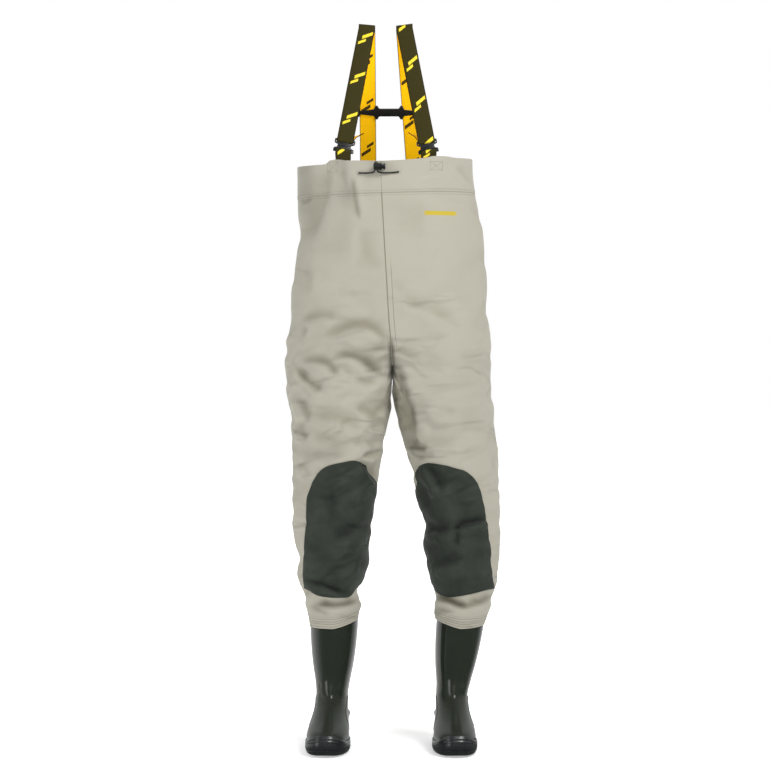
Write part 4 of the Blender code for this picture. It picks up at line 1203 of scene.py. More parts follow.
@dataclass
class CreaseField:
    """All the folds of the cloth, as one height over the smooth body.

    Reach, sides and swell are in half widths of a fold, and the taper is a share of its length.
    """

    creases: dict[Facing, Sequence[Crease]]
    path_points: int = 20
    reach: float = 5.0
    taper: float = 0.28
    soft_side: float = 1.9
    sharp_side: float = 0.95
    swell_at: float = 2.0
    swell_half: float = 1.3

    def __post_init__(self) -> None:
        """Keep the folds with their side and their paths as fine polylines."""
        self.lines = [
            (facing, crease, flowing_line(crease.path, self.path_points))
            for facing, group in self.creases.items()
            for crease in group
        ]

    def height(self, points: np.ndarray, normals: np.ndarray) -> np.ndarray:
        """Height of the folds along the normal.

        Args:
            points: Points of the smooth body.
            normals: Its normals there.

        Returns:
            Heights in millimetres, negative in a trough.
        """
        total = np.zeros(len(points))
        for facing, crease, line in self.lines:
            axis, sign, across = facing.value
            towards = smooth(0.04, 0.5, normals[:, axis] * sign)
            flat = points[:, (across, 2)]
            reach = crease.width * self.reach
            close = towards > 0
            close &= np.all(flat > line.min(0) - reach, axis=1)
            close &= np.all(flat < line.max(0) + reach, axis=1)
            if close.any():
                total[close] += towards[close] * self.profile(crease, line, flat[close])
        return total

    def profile(self, crease: Crease, line: np.ndarray, flat: np.ndarray) -> np.ndarray:
        """Height of one fold at points in its own view.

        Args:
            crease: The fold.
            line: Its path as a fine polyline.
            flat: Points as (across, up).

        Returns:
            Heights in millimetres.
        """
        start, step = line[:-1], np.diff(line, axis=0)
        offset = flat[:, None, :] - start[None, :, :]
        share = np.clip((offset * step).sum(2) / (step * step).sum(1), 0, 1)
        away = offset - share[:, :, None] * step
        distance = np.linalg.norm(away, axis=2)
        nearest = distance.argmin(1)
        rows = np.arange(len(flat))
        weight = np.exp(-(distance**2 - distance.min(1, keepdims=True) ** 2) / (0.5 * crease.width**2))
        along = (weight * (np.arange(len(start)) + share)).sum(1) / weight.sum(1) / len(start)
        turn = step[nearest, 0] * offset[rows, nearest, 1] - step[nearest, 1] * offset[rows, nearest, 0]
        ends = smooth(0.0, self.taper, along) * smooth(1.0, 1.0 - self.taper, along)
        gap = distance[rows, nearest] * np.sign(turn) / (crease.width * (0.5 + 0.5 * ends))
        trough = bell(gap, 0, np.where(gap > 0, self.soft_side, self.sharp_side))
        swell = bell(gap, -self.swell_at, self.swell_half)
        return crease.depth * (crease.swell * swell - trough) * ends


@dataclass
class Body:
    """Bib and trousers: one hollow shell of coated nylon with a hemmed chest band."""

    wall: float = 1.0
    band_wall: float = 2.0
    band_step: float = 1.0
    band_seam_z: float = 1256.0
    rim_z: float = 1332.0
    crotch_z: float = 868.0
    crotch_dip: float = 18.0
    hem_z: float = 268.0
    rim_tilt: float = 0.045
    section_power: float = 2.35
    cleft_half: float = 0.11
    outer_steps: int = 128
    inner_steps: int = 40
    inner_spread: float = math.radians(70)
    blend_drop: float = 105.0
    row: float = 4.6
    fold_room: float = 3.5
    lumps: tuple[tuple[float, float, float], ...] = ((1.1, 80.0, 3.1), (0.6, 31.0, 7.7))
    crinkle: float = 3.8
    crinkle_mean: float = 0.45
    crinkle_size: tuple[float, float, float] = (125.0, 125.0, 53.0)
    deepest: float = 10.0
    field: CreaseField = field(default_factory=lambda: CreaseField(CREASES))

    def torso_point(self, z: np.ndarray, side: Side, share: np.ndarray) -> np.ndarray:
        """Points of the bib's outer face.

        Args:
            z: Heights.
            side: Which half.
            share: 0 at the front seam to 1 at the back seam.

        Returns:
            Points, with the shape of z and share and a last axis of 3.
        """
        z, share = np.broadcast_arrays(np.asarray(z, float), np.asarray(share, float))
        power = 2 / self.section_power
        angle = math.pi * share
        names = ("seam", "front", "back", "cleft")
        seam, front, back, cleft = (column(TORSO, "z", name, z) for name in names)
        edge = column(TORSO, "z", side.word, z)
        x = seam + (edge - seam) * np.abs(np.sin(angle)) ** power
        y = (front + back) / 2 - (back - front) / 2 * signed_power(np.cos(angle), power)
        y = y + cleft * bell(share, 0, self.cleft_half)
        y = y - cleft * bell(share, 1, self.cleft_half)
        return np.stack([x, y, z], axis=-1)

    def raised(self, points: np.ndarray) -> np.ndarray:
        """Tilt and shape the bib's top edge.

        Args:
            points: Points of the bib.

        Returns:
            The points at their raised heights.
        """
        x, y, z = points[..., 0], points[..., 1], points[..., 2]
        lift = self.rim_tilt * x * smooth(1120, self.rim_z, z)
        front = smooth(-10, -70, y) * smooth(1240, self.rim_z, z)
        lift = lift + column(RIM_FRONT, "x", "rise", x) * front
        return np.stack([x, y, z + lift], axis=-1)

    def torso_ring(self, z: np.ndarray, step: np.ndarray) -> np.ndarray:
        """Rings of the bib at several heights.

        Args:
            z: One height a ring.
            step: How far each ring stands out.

        Returns:
            Array of rings, front seam first, round by the wearer's right.
        """
        shares = np.arange(self.outer_steps + 1) / self.outer_steps
        right = self.torso_point(z[:, None], Side.RIGHT, shares[None, :])
        left = self.torso_point(z[:, None], Side.LEFT, shares[None, -2:0:-1])
        ring = np.concatenate([right, left], axis=1)
        return self.raised(ring + unit(ring * (1, 1, 0)) * step[:, None, None])

    def leg_angle(self, step: np.ndarray) -> np.ndarray:
        """Turn round a leg of ring points: 0 at the front, a quarter turn at the outer side.

        Args:
            step: Numbers of the ring points.

        Returns:
            Their turns in radians.
        """
        start = math.pi / 2 - self.inner_spread / 2
        open_turn = 2 * math.pi - self.inner_spread
        outer = open_turn * step / self.outer_steps - start
        inner = open_turn + self.inner_spread * (step - self.outer_steps) / self.inner_steps - start
        return np.where(step <= self.outer_steps, outer, inner)

    def leg_round(self, side: Side, z: np.ndarray, angle: np.ndarray) -> np.ndarray:
        """Points of a round leg at heights and turns.

        Args:
            side: Which leg.
            z: Heights.
            angle: Turns round the leg.

        Returns:
            Points with a last axis of 3.
        """
        z, angle = np.broadcast_arrays(np.asarray(z, float), np.asarray(angle, float))
        names = ("outer", "inner", "front", "back")
        outer, inner, front, back = (column(LEGS[side], "z", name, z) for name in names)
        x = (outer + inner) / 2 + (outer - inner) / 2 * np.sin(angle)
        y = (front + back) / 2 - (back - front) / 2 * np.cos(angle)
        inside, outside = np.maximum(-np.sin(angle), 0), np.maximum(np.sin(angle), 0)
        hem = 3 + 17 * inside**1.2 + (5 * outside**2 if side is Side.LEFT else 0)
        return np.stack([x, y, z + hem * smooth(335, self.hem_z, z)], axis=-1)

    def leg_ring(self, side: Side, z: np.ndarray) -> np.ndarray:
        """Rings of a leg, which turns from half a bib at the crotch into a round leg.

        Args:
            side: Which leg.
            z: One height a ring.

        Returns:
            Array of rings of outer and inner steps.
        """
        steps = np.arange(self.outer_steps + self.inner_steps)
        round_points = self.leg_round(side, z[:, None], self.leg_angle(steps)[None, :])
        blend = smooth(self.crotch_z, self.crotch_z - self.blend_drop, z)[:, None, None]
        half = self.torso_point(self.crotch_z, side, np.arange(self.outer_steps + 1) / self.outer_steps)
        share = (np.arange(1, self.inner_steps) / self.inner_steps)[:, None]
        half = np.vstack([half, half[-1] + (half[0] - half[-1]) * share])
        points = half[None] * (1 - blend) + round_points * blend
        dip = np.zeros(len(steps))
        dip[self.outer_steps + 1 :] = self.crotch_dip * np.sin(math.pi * share[:, 0])
        level = z[:, None]
        points[:, :, 2] = level - dip[None, :] * (1 - blend[:, :, 0]) + round_points[:, :, 2] - level
        return points

    def levels(self) -> tuple[np.ndarray, np.ndarray]:
        """Heights of the bib's and the legs' rings, odd in number so that every second one can be used.

        Returns:
            Heights of the bib's rings, upwards, and of the legs' rings, downwards, from the crotch.
        """
        below = np.linspace(self.crotch_z, self.band_seam_z - 0.8, int(388 / self.row) // 2 * 2 + 1)
        above = np.linspace(self.band_seam_z + 0.8, self.rim_z, 16)
        legs = np.linspace(self.crotch_z, self.hem_z, int(600 / self.row) // 2 * 2 + 1)[1:]
        return np.concatenate([below, above]), legs

    def shell(self) -> tuple[np.ndarray, list[np.ndarray], dict[str, np.ndarray], np.ndarray]:
        """Outer face of the bib and both legs.

        Returns:
            Vertices, faces as quads, vertex numbers of each grid of rings by name, and the height of each
            vertex's ring before its edge was shaped.
        """
        torso_z, leg_z = self.levels()
        ring = 2 * self.outer_steps
        torso = self.torso_ring(torso_z, np.where(torso_z > self.band_seam_z, self.band_step, 0.0))
        chain = self.leg_ring(Side.RIGHT, np.array([self.crotch_z]))[0, self.outer_steps + 1 :]
        points = [torso.reshape(-1, 3), chain]
        torso_grid = np.arange(len(torso_z) * ring).reshape(len(torso_z), ring)
        count = torso_grid.size
        chain_row = np.arange(count, count + len(chain))
        count += len(chain)
        crotch = torso_grid[0]
        tops = {
            Side.RIGHT: np.concatenate([crotch[: self.outer_steps + 1], chain_row]),
            Side.LEFT: np.concatenate([crotch[:1], crotch[: self.outer_steps - 1 : -1], chain_row]),
        }
        grids = {"torso": torso_grid}
        for side in Side:
            leg = self.leg_ring(side, leg_z)
            points.append(leg.reshape(-1, 3))
            numbers = np.arange(count, count + leg.shape[0] * leg.shape[1]).reshape(leg.shape[:2])
            count += numbers.size
            grids[side.word] = np.vstack([tops[side], numbers])
        quads = [self.grid_faces(torso_grid, True)]
        quads += [self.grid_faces(grids[side.word], side is Side.LEFT) for side in Side]
        rest = [np.repeat(torso_z, ring), np.full(len(chain), self.crotch_z)]
        rest += [np.repeat(leg_z, self.outer_steps + self.inner_steps)] * 2
        return np.vstack(points), quads, grids, np.concatenate(rest)

    @staticmethod
    def grid_faces(grid: np.ndarray, flip: bool) -> np.ndarray:
        """Faces between the rings of a grid, first ring on top unless flipped.

        Args:
            grid: Vertex numbers.
            flip: Whether to turn the faces over.

        Returns:
            Faces of four corners.
        """
        after = np.roll(grid, -1, axis=1)
        faces = np.stack([grid[:-1], after[:-1], after[1:], grid[1:]], axis=-1).reshape(-1, 4)
        return faces[:, ::-1] if flip else faces

    def folded(self, points: np.ndarray, normals: np.ndarray) -> tuple[np.ndarray, np.ndarray]:
        """Lay the folds on points of the smooth body.

        Args:
            points: Points of the smooth body.
            normals: Its normals there.

        Returns:
            The moved points, and the height of the folds.
        """
        height = self.field.height(points, normals)
        z = points[:, 2]
        slack = 1.0 - 0.5 * smooth(1230, 1290, z)
        slack *= (0.5 + 0.8 * smooth(1100, 960, z)) * smooth(285, 330, z)
        height += slack * sum(rise * soft_noise(points, size, offset) for rise, size, offset in self.lumps)
        calm = (0.2 + 0.8 * smooth(1100, 900, z)) * smooth(300, 350, z)
        calm *= 0.4 + 0.6 * smooth(0.2, 0.7, np.abs(normals[:, 1]))
        height += calm * self.crinkle * (crinkled(points, self.crinkle_size) - self.crinkle_mean)
        return points + normals * height[:, None], height

    def build(self, material: bpy.types.Material) -> bpy.types.Object:
        """Build the whole shell with its inner wall.

        Args:
            material: The cloth.
        """
        base, quads, grids, rest = self.shell()
        normals = vertex_normals(base, np.vstack(quads))
        outer, height = self.folded(base, normals)
        outer -= normals * self.under_patches(base)[:, None]
        outer_normals = vertex_normals(outer, np.vstack(quads))
        self.outer, self.outer_normals, self.grids = outer, outer_normals, grids
        self.tree = BVHTree.FromPolygons(outer.tolist(), np.vstack(quads).tolist())
        banded = rest > self.band_seam_z
        below_band = smooth(self.band_seam_z, self.band_seam_z - 60, rest)
        clear = np.maximum(smooth(0.5, 2.5, np.abs(height)), below_band)
        room = np.where(banded, 1.0, self.fold_room) * clear * smooth(270, 285, rest)
        wall = np.where(banded, self.band_wall, self.wall) + room
        inner_points = outer - outer_normals * wall[:, None]
        faces = [face for group in quads for face in group.tolist()]
        coarse = {name: grid[::2, ::2] for name, grid in grids.items()}
        used = np.unique(np.concatenate([grid.ravel() for grid in coarse.values()]))
        number = np.full(len(outer), -1)
        number[used] = np.arange(len(outer), len(outer) + len(used))
        for name, grid in coarse.items():
            faces += self.grid_faces(number[grid], name == "right").tolist()
        for name, grid in grids.items():
            faces += rim_faces(grid[-1], number[coarse[name][-1]], name == "right")
        points = np.vstack([outer, inner_points[used]])
        flat = np.vstack([base, base[used]])
        uv = np.column_stack([np.arctan2(flat[:, 0], -flat[:, 1]) * 0.16, flat[:, 2] * MM])
        body = mesh_piece("body_shell", points, faces, material, uv, 82)
        # Painted shade: the troughs of the folds darken, more on the cuffs below the patches, and the inner
        # wall darkens by half; the crotch cleft, deep folds and turned-away parts get painted deep shade.
        trough = np.clip(-height / self.deepest, 0, 1) * (0.48 + 0.42 * smooth(375, 345, base[:, 2]))
        inside = np.ones(len(used))
        point_values(body, "trough", np.concatenate([trough, inside * 0.5]))
        shade = np.maximum(self.crotch_pit(base), -CreaseField(SHADES).height(base, normals))
        point_values(body, "pit", np.concatenate([shade, inside * 0]))
        front, back = self.seam_gaps(base)
        point_values(body, "front_gap", np.concatenate([front * MM, inside]))
        point_values(body, "back_gap", np.concatenate([back * MM, inside]))
        point_values(body, "rest_z", np.concatenate([rest * MM, inside * 0]))
        return body

    def seam_gaps(self, points: np.ndarray) -> tuple[np.ndarray, np.ndarray]:
        """Distance of every outer vertex along its ring from the front and the back seam.

        Args:
            points: Vertices of the smooth body.

        Returns:
            Distances from the front seam, negative on the wearer's right, and from the back seam; legs
            are far from both.
        """
        front, back = np.full(len(points), 1000.0), np.full(len(points), 1000.0)
        grid = self.grids["torso"]
        ring = points[grid]
        step = np.linalg.norm(np.roll(ring, -1, axis=1) - ring, axis=2)
        right = np.concatenate([np.zeros((len(ring), 1)), np.cumsum(step, axis=1)[:, :-1]], axis=1)
        left = step.sum(1, keepdims=True) - right
        front[grid] = np.where(right < left, -right, left)
        middle = right[:, self.outer_steps : self.outer_steps + 1]
        back[grid] = np.abs(right - middle)
        return front, back

    @staticmethod
    def crotch_pit(points: np.ndarray) -> np.ndarray:
        """Share of deep shade in the cleft where the front seam dives between the legs.

        Args:
            points: Vertices of the smooth body.

        Returns:
            One share a vertex.
        """
        x, y, z = points.T
        half = 2.0 + 7.0 * smooth(930, 868, z)
        away = (x - column(TORSO, "z", "seam", z)) / half
        return 0.95 * bell(away, 0, 1) * smooth(940, 900, z) * smooth(815, 850, z) * (y < -40)

    def under_patches(self, points: np.ndarray) -> np.ndarray:
        """How far the cloth is pressed in under the knee patches.

        Args:
            points: Vertices of the smooth body.

        Returns:
            One depth a vertex.
        """
        pressed = np.zeros(len(points))
        for patch in (KneePatch(side, self) for side in Side):
            under = 0.8 * patch.covers(points, 1.0) + 1.8 * patch.covers(points, 0.92)
            pressed = np.maximum(pressed, under)
        return pressed

    def on_cloth(self, flat: np.ndarray, front: bool, lift: float) -> np.ndarray:
        """Lay points of the front or back view on the folded cloth.

        Args:
            flat: Points as (across, up).
            front: Whether they lie on the front.
            lift: How far they stand off the cloth.

        Returns:
            The points in space.
        """
        inward = Vector((0, 1 if front else -1, 0))
        laid = []
        for x, z in flat:
            place, normal, _, _ = self.tree.ray_cast(Vector((x, -400 * inward.y, z)), inward)
            laid.append(place - normal * math.copysign(lift, normal.dot(inward)))
        return np.array(laid)

    def ring_line(self, grid: str, z: float, lift: float) -> np.ndarray:
        """Closed line round the folded bib or a leg.

        Args:
            grid: Name of the grid of rings.
            z: Height of the line.
            lift: How far it stands off the cloth.

        Returns:
            Points of the line, first repeated last.
        """
        torso_z, leg_z = self.levels()
        heights = torso_z if grid == "torso" else np.concatenate([[self.crotch_z], leg_z])
        row = self.grids[grid][int(np.abs(heights - z).argmin())]
        line = self.outer[row] + self.outer_normals[row] * lift
        return np.vstack([line, line[:1]])


# Knee patches


class PatchEdge(NamedTuple):
    """One side of a patch in the front view; the inner side runs on round the leg."""

    outer: tuple[tuple[float, float], ...]
    top: tuple[tuple[float, float], ...]
    inner: tuple[tuple[float, float], ...]
    foot: tuple[tuple[float, float], ...]


PATCH_EDGES = {
    Side.RIGHT: PatchEdge(
        outer=((-196, 361), (-198, 391), (-193, 460), (-188, 529), (-186, 574), (-176, 604)),
        top=((-176, 604), (-158, 629), (-135, 643.5), (-90, 653), (-68, 650), (-50, 641)),
        inner=((-81, 357), (-60, 390), (-40, 480), (-30, 560), (-32, 608), (-45, 626), (-50, 641)),
        foot=((-196, 361), (-176, 354), (-150, 346), (-108, 342), (-90, 344), (-81, 357)),
    ),
    Side.LEFT: PatchEdge(
        outer=((238, 360), (231, 401), (228, 447), (222, 495), (217, 529), (207, 570), (198, 602)),
        top=((198, 602), (187, 616), (169, 630), (146, 637), (124, 643.5), (94, 647), (78, 646), (65, 639)),
        inner=((104, 350), (96, 390), (84, 450), (84, 500), (72, 550), (62, 600), (58, 622), (65, 639)),
        foot=((238, 360), (213, 357), (180, 350.5), (157, 346), (130, 341.5), (112, 344), (104, 350)),
    ),
}


@dataclass
class KneePatch:
    """Arched patch welded over the front of one leg."""

    side: Side
    body: Body
    gap: float = 0.5
    wall: float = 1.3
    edge_share: float = 0.55
    wrap: float = math.radians(-104)
    across: int = 72
    up: int = 104

    def leg(self, z: np.ndarray) -> tuple[np.ndarray, np.ndarray]:
        """Middle and signed half width of the leg in the front view."""
        outer, inner = (column(LEGS[self.side], "z", name, z) for name in ("outer", "inner"))
        return (outer + inner) / 2, (outer - inner) / 2

    def turn(self, x: np.ndarray, z: np.ndarray) -> np.ndarray:
        """Turn round the leg of a point in the front view."""
        middle, half = self.leg(z)
        return np.arcsin(np.clip((x - middle) / half, -0.999, 0.999))

    def edges(self) -> dict[str, np.ndarray]:
        """Sides of the patch as (turn, height) lines.

        Returns:
            The outer, inner, top and foot lines, by name.
        """
        lines = {}
        counts = {"outer": self.up, "inner": self.up, "top": self.across, "foot": self.across}
        for name, count in counts.items():
            line = flowing_line(getattr(PATCH_EDGES[self.side], name), count)
            turn = self.turn(line[:, 0], line[:, 1])
            lines[name] = np.column_stack([turn, line[:, 1]])
        inner = lines["inner"]
        share = np.linspace(0, 1, self.up)
        middle = smooth(0.03, 0.12, share) * smooth(0.88, 0.72, share)
        inner[:, 0] += (self.wrap - inner[:, 0]) * middle
        return lines

    def net(self) -> np.ndarray:
        """Turn and height of every patch vertex, blended between its four sides.

        Returns:
            Array of rows of (turn, height).
        """
        lines = self.edges()
        u = np.linspace(0, 1, self.across)[None, :, None]
        v = np.linspace(0, 1, self.up)[:, None, None]
        outer, inner = lines["outer"][:, None], lines["inner"][:, None]
        foot, top = lines["foot"][None], lines["top"][None]
        sides = outer * (1 - u) + inner * u
        ends = foot * (1 - v) + top * v
        corners = (outer[0] * (1 - u) + inner[0] * u) * (1 - v) + (outer[-1] * (1 - u) + inner[-1] * u) * v
        return sides + ends - corners

    def covers(self, points: np.ndarray, share: float) -> np.ndarray:
        """1 at points of the leg that the patch covers.

        Args:
            points: Points of the smooth body.
            share: Size of the covered part against the whole patch.

        Returns:
            1 or 0 a point.
        """
        lines = self.edges()
        outline = np.vstack([lines["outer"], lines["top"], lines["inner"][::-1], lines["foot"][::-1]])
        outline = outline.mean(0) + (outline - outline.mean(0)) * share
        z = points[:, 2]
        middle, half = self.leg(z)
        sine = np.clip((points[:, 0] - middle) / half, -1, 1)
        turn = np.where(points[:, 1] < 0, np.arcsin(sine), np.sign(sine) * math.pi - np.arcsin(sine))
        inside = np.zeros(len(points), bool)
        after = np.roll(outline, -1, axis=0)
        mine = (z > 320) & (z < 670) & (np.abs(points[:, 0] - middle) < np.abs(half) + 12)
        for (a, b), (c, d) in zip(outline, after):
            if b == d:
                continue
            crossing = ((b > z) != (d > z)) & (turn < (c - a) * (z - b) / (d - b) + a)
            inside ^= crossing
        return (inside & mine).astype(float)

    def build(self, material: bpy.types.Material) -> bpy.types.Object:
        """Build the patch on the folded leg.

        Args:
            material: Its cloth.
        """
        net = self.net()
        base = self.body.leg_round(self.side, net[..., 1], net[..., 0]).reshape(-1, 3)
        quads = grid_quads(self.up, self.across, False)
        turn = -1 if self.side is Side.LEFT else 1
        normals = vertex_normals(base, quads[:, ::turn])
        folded, height = self.body.folded(base, normals)
        normals = vertex_normals(folded, quads[:, ::turn])
        rows, columns = np.divmod(np.arange(len(folded)), self.across)
        border = (rows == 0) | (rows == self.up - 1) | (columns == 0) | (columns == self.across - 1)
        wall = self.wall * np.where(border, self.edge_share, 1.0)
        top = folded + normals * (self.gap + wall)[:, None]
        under = folded + normals * self.gap
        count = len(folded)
        ring = np.concatenate([
            np.arange(self.across),
            np.arange(2 * self.across - 1, count, self.across),
            np.arange(count - 2, count - self.across - 1, -1),
            np.arange(count - 2 * self.across, 0, -self.across),
        ])
        after = np.roll(ring, -1)
        walls = np.stack([ring + count, after + count, after, ring], axis=1)
        faces = np.vstack([quads, quads[:, ::-1] + count, walls])[:, ::turn]
        uv = np.column_stack([net[..., 0].ravel() * 0.09, net[..., 1].ravel() * MM])
        points = np.vstack([top, under])
        patch = mesh_piece("patch_" + self.side.word, points, faces, material, np.vstack([uv, uv]), 70)
        # Painted shade in the troughs of the folds, on both faces of the patch.
        point_values(patch, "trough", np.tile(np.clip(-height / self.body.deepest, 0, 1) * 0.6, 2))
        return patch


# Boots


BOOT = (
    BootRow(14, 66.5, -203, 36, 47, 47, 0.72),
    BootRow(30, 68, -207, 38, 50, 50, 0.72),
    BootRow(42, 68.5, -204, 38, 49.5, 49.5, 0.72),
    BootRow(51, 69.5, -193, 38, 47, 48, 0.74),
    BootRow(58, 77, -178, 37.5, 45, 46, 0.78),
    BootRow(66, 76.5, -158, 37, 42, 43, 0.82),
    BootRow(73, 67, -141, 36, 40, 41, 0.86),
    BootRow(88, 65, -112, 35.5, 38, 38, 0.9),
    BootRow(104, 63, -89, 35.5, 36.5, 36.5, 0.95),
    BootRow(124, 61, -72, 36.5, 37, 37, 1.0),
    BootRow(150, 61, -65, 40.5, 40.5, 40.5, 1.0),
    BootRow(180, 63, -65, 46, 46, 46, 1.0),
    BootRow(220, 66, -67, 51, 51, 51, 1.0),
    BootRow(268, 69, -70, 54.5, 54.5, 54.5, 1.0),
    BootRow(315, 70, -71, 55.5, 55.5, 55.5, 1.0),
)

STANCES = {
    Side.RIGHT: Stance(-132, math.radians(4), 0.022),
    Side.LEFT: Stance(141, math.radians(2), 0.118),
}

SOLE_SIDE = (
    SoleRow(0, -9.0, 0.0),
    SoleRow(0.8, -5.4, 0.0),
    SoleRow(2.2, -2.2, 0.0),
    SoleRow(4.4, 0.8, 0.08),
    SoleRow(7.4, 2.6, 0.18),
    SoleRow(8, 2.6, 0.2),
    SoleRow(8.6, 1.7, 0.26),
    SoleRow(11.2, 1.7, 0.42),
    SoleRow(11.7, 3.2, 0.47),
    SoleRow(12.6, 3.6, 0.52),
    SoleRow(21, 3.5, 0.8),
)

SOLE_EDGE = (
    EdgeRow(0.0, 40),
    EdgeRow(0.2, 36),
    EdgeRow(0.5, 30),
    EdgeRow(0.75, 29),
    EdgeRow(0.88, 34),
    EdgeRow(0.96, 42),
    EdgeRow(1.0, 45),
)


# Ribs of the toe bumper: share of the way up it, and how far it stands out there.
TOE_RIBS = (
    (0.2, 0), (0.3, 0.1), (0.36, 1.1), (0.46, 1.1), (0.52, 0.1),
    (0.6, 0), (0.66, 1.1), (0.78, 1.1), (0.84, 0.1), (0.94, 0),
)


@dataclass
class Boot:
    """Moulded boot of one side: upper with guard, kick-off ledge and instep rolls, and its sole."""

    side: Side
    steps: int = 224
    row: float = 2.3
    top_z: float = 315.0
    foot_z: float = 14.6
    widest_z: float = 30.0
    wall: float = 2.4
    waist: float = 0.9
    waist_top: float = 45.0
    guard_top: float = 110.5
    guard_step: float = 0.9
    bead: float = 0.7
    ledge_z: float = 66.0
    ledge_out: tuple[float, float] = (6.0, 2.5)
    instep_rolls: tuple[tuple[float, float, float], ...] = ((1.5, 133.0, 9.0), (-1.2, 114.0, 7.0))
    heel_rise: float = 9.0
    spring: float = 8.0
    spring_start: float = -140.0
    toe_y: float = -213.0
    foxing: float = 3.0
    groove_width: float = 6.0
    groove_depth: float = 4.5
    groove_slope: float = 0.8
    heel_grooves: tuple[float, ...] = (22, 42)
    fore_grooves: tuple[float, ...] = (-74, -92, -110, -128, -146, -163)
    arch: tuple[tuple[float, float], ...] = ((5, -2), (3, 7), (-22, 6.5), (-56, -0.5), (-56, -2))

    def heel_lift(self, y: np.ndarray) -> np.ndarray:
        """Rise of the heel's bed over the forefoot's."""
        return self.heel_rise * smooth(-90, 5, y)

    def toe_lift(self, y: np.ndarray) -> np.ndarray:
        """Toe spring."""
        share = np.maximum((self.spring_start - y) / (self.spring_start - self.toe_y), 0)
        return self.spring * share * share

    def along(self) -> np.ndarray:
        """Place of each ring point from heel (0) to toe (1)."""
        return (1 - np.cos(2 * math.pi * np.arange(self.steps) / self.steps)) / 2

    def outline(self, z: np.ndarray) -> np.ndarray:
        """Flat outlines of the upper, from the heel round by the inner side to the toe and back.

        Args:
            z: One height an outline.

        Returns:
            Array of outlines with (x, y) points.
        """
        names = ("back", "front", "rear", "inner", "outer", "ends")
        back, front, rear, inner, outer, ends = (column(BOOT, "z", name, z)[:, None] for name in names)
        sine = np.sin(2 * math.pi * np.arange(self.steps) / self.steps)[None, :]
        along = self.along()[None, :]
        half = rear + (np.where(sine >= 0, inner, outer) - rear) * smooth(0.3, 0.72, along)
        waist = np.where(z[:, None] < self.waist_top, self.waist, 1.0)
        half = half * (1 - (1 - waist) * bell(along, 0.42, 0.14))
        x = half * np.sign(sine) * np.abs(sine) ** ends
        return np.stack([x, back + (front - back) * along], axis=-1)

    def relief(self, flat: np.ndarray, z: np.ndarray) -> np.ndarray:
        """Height of the moulded guard, its bead, the kick-off ledge and the instep's rolls.

        Args:
            flat: Outline points.
            z: Their heights.

        Returns:
            How far the face stands out.
        """
        x, y = flat[..., 0], flat[..., 1]
        along = self.along()[None, :]
        edge = -100 + 0.62 * np.maximum(z - 30, 0) + 26 * smooth(76, 112, z)
        below = smooth(self.guard_top + 2.5, self.guard_top - 1, z)
        guard = smooth(edge - 1.6, edge + 1.6, y) * below
        rim = bell(y - edge, 1.5, 2.2) * below * smooth(40, 52, z)
        rim = rim + bell(z, self.guard_top, 2.0) * smooth(edge - 2, edge + 2, y)
        ledge = bell(z, self.ledge_z, 12.0) * smooth(0.42, 0.2, along) * np.where(x > 0, *self.ledge_out)
        ledge = ledge * smooth(2, 14, np.abs(x))
        front = smooth(0.62, 0.95, along)
        rolls = sum(rise * bell(z, middle, half) for rise, middle, half in self.instep_rolls)
        rolls = rolls + bell(z, 112, 15.0) * np.cos(x / 5.5)
        return self.guard_step * guard + self.bead * rim + ledge + rolls * front

    @staticmethod
    def outward(flat: np.ndarray) -> np.ndarray:
        """Unit directions out of flat outlines."""
        edge = np.roll(flat, -1, axis=1) - np.roll(flat, 1, axis=1)
        return unit(np.stack([-edge[..., 1], edge[..., 0]], axis=-1))

    def rings(self, z: np.ndarray, out: float, relief: float) -> np.ndarray:
        """Rings of the upper's face in the boot's own frame.

        Args:
            z: One height a ring.
            out: How far every ring stands out.
            relief: Share of the moulded relief that shows.

        Returns:
            Array of rings.
        """
        flat = self.outline(z)
        height = out + relief * self.relief(flat, np.broadcast_to(z[:, None], flat.shape[:2]))
        flat = flat + self.outward(flat) * height[..., None]
        lift = (self.heel_lift(flat[..., 1]) + self.toe_lift(flat[..., 1])) * smooth(100, 14, z)[:, None]
        return np.concatenate([flat, (z[:, None] + lift)[..., None]], axis=-1)

    def stand(self, points: np.ndarray) -> np.ndarray:
        """From the boot's own frame to the floor.

        Args:
            points: Points in the boot's own frame.

        Returns:
            The points as the boot stands.
        """
        stance = STANCES[self.side]
        z = points[..., 2]
        lean = stance.lean * np.maximum(z - 105, 0) * smooth(105, 140, z)
        turn = self.side.value * stance.toe_out
        x, y = -self.side.value * points[..., 0], points[..., 1]
        turned_x = x * math.cos(turn) - y * math.sin(turn) + stance.ankle_x + lean
        turned_y = x * math.sin(turn) + y * math.cos(turn)
        return np.stack([turned_x, turned_y, z], axis=-1)

    def faces(self, numbers: np.ndarray, flip: bool) -> list[list[int]]:
        """Faces between rings listed from the top down, turned for the side."""
        return Body.grid_faces(numbers, flip ^ (self.side is Side.LEFT)).tolist()

    def upper(self, material: bpy.types.Material) -> bpy.types.Object:
        """Build the hollow upper.

        Args:
            material: Its PVC.
        """
        count = int((self.top_z - self.foot_z) / self.row) // 2 * 2 + 1
        z = np.linspace(self.top_z, self.foot_z, count)
        outer = self.stand(self.rings(z, 0.0, 1.0))
        inner = self.stand(self.rings(z[::2], -self.wall, 0.0))[:, ::2]
        numbers = np.arange(outer[..., 0].size).reshape(outer.shape[:2])
        inside = np.arange(inner[..., 0].size).reshape(inner.shape[:2]) + numbers.size
        faces = self.faces(numbers, False) + self.faces(inside, True)
        for end, flip in ((0, False), (-1, True)):
            faces += rim_faces(numbers[end], inside[end], flip ^ (self.side is Side.LEFT))
        points = np.vstack([outer.reshape(-1, 3), inner.reshape(-1, 3)])
        return mesh_piece("boot_shaft_" + self.side.word, points, faces, material, None, 60)

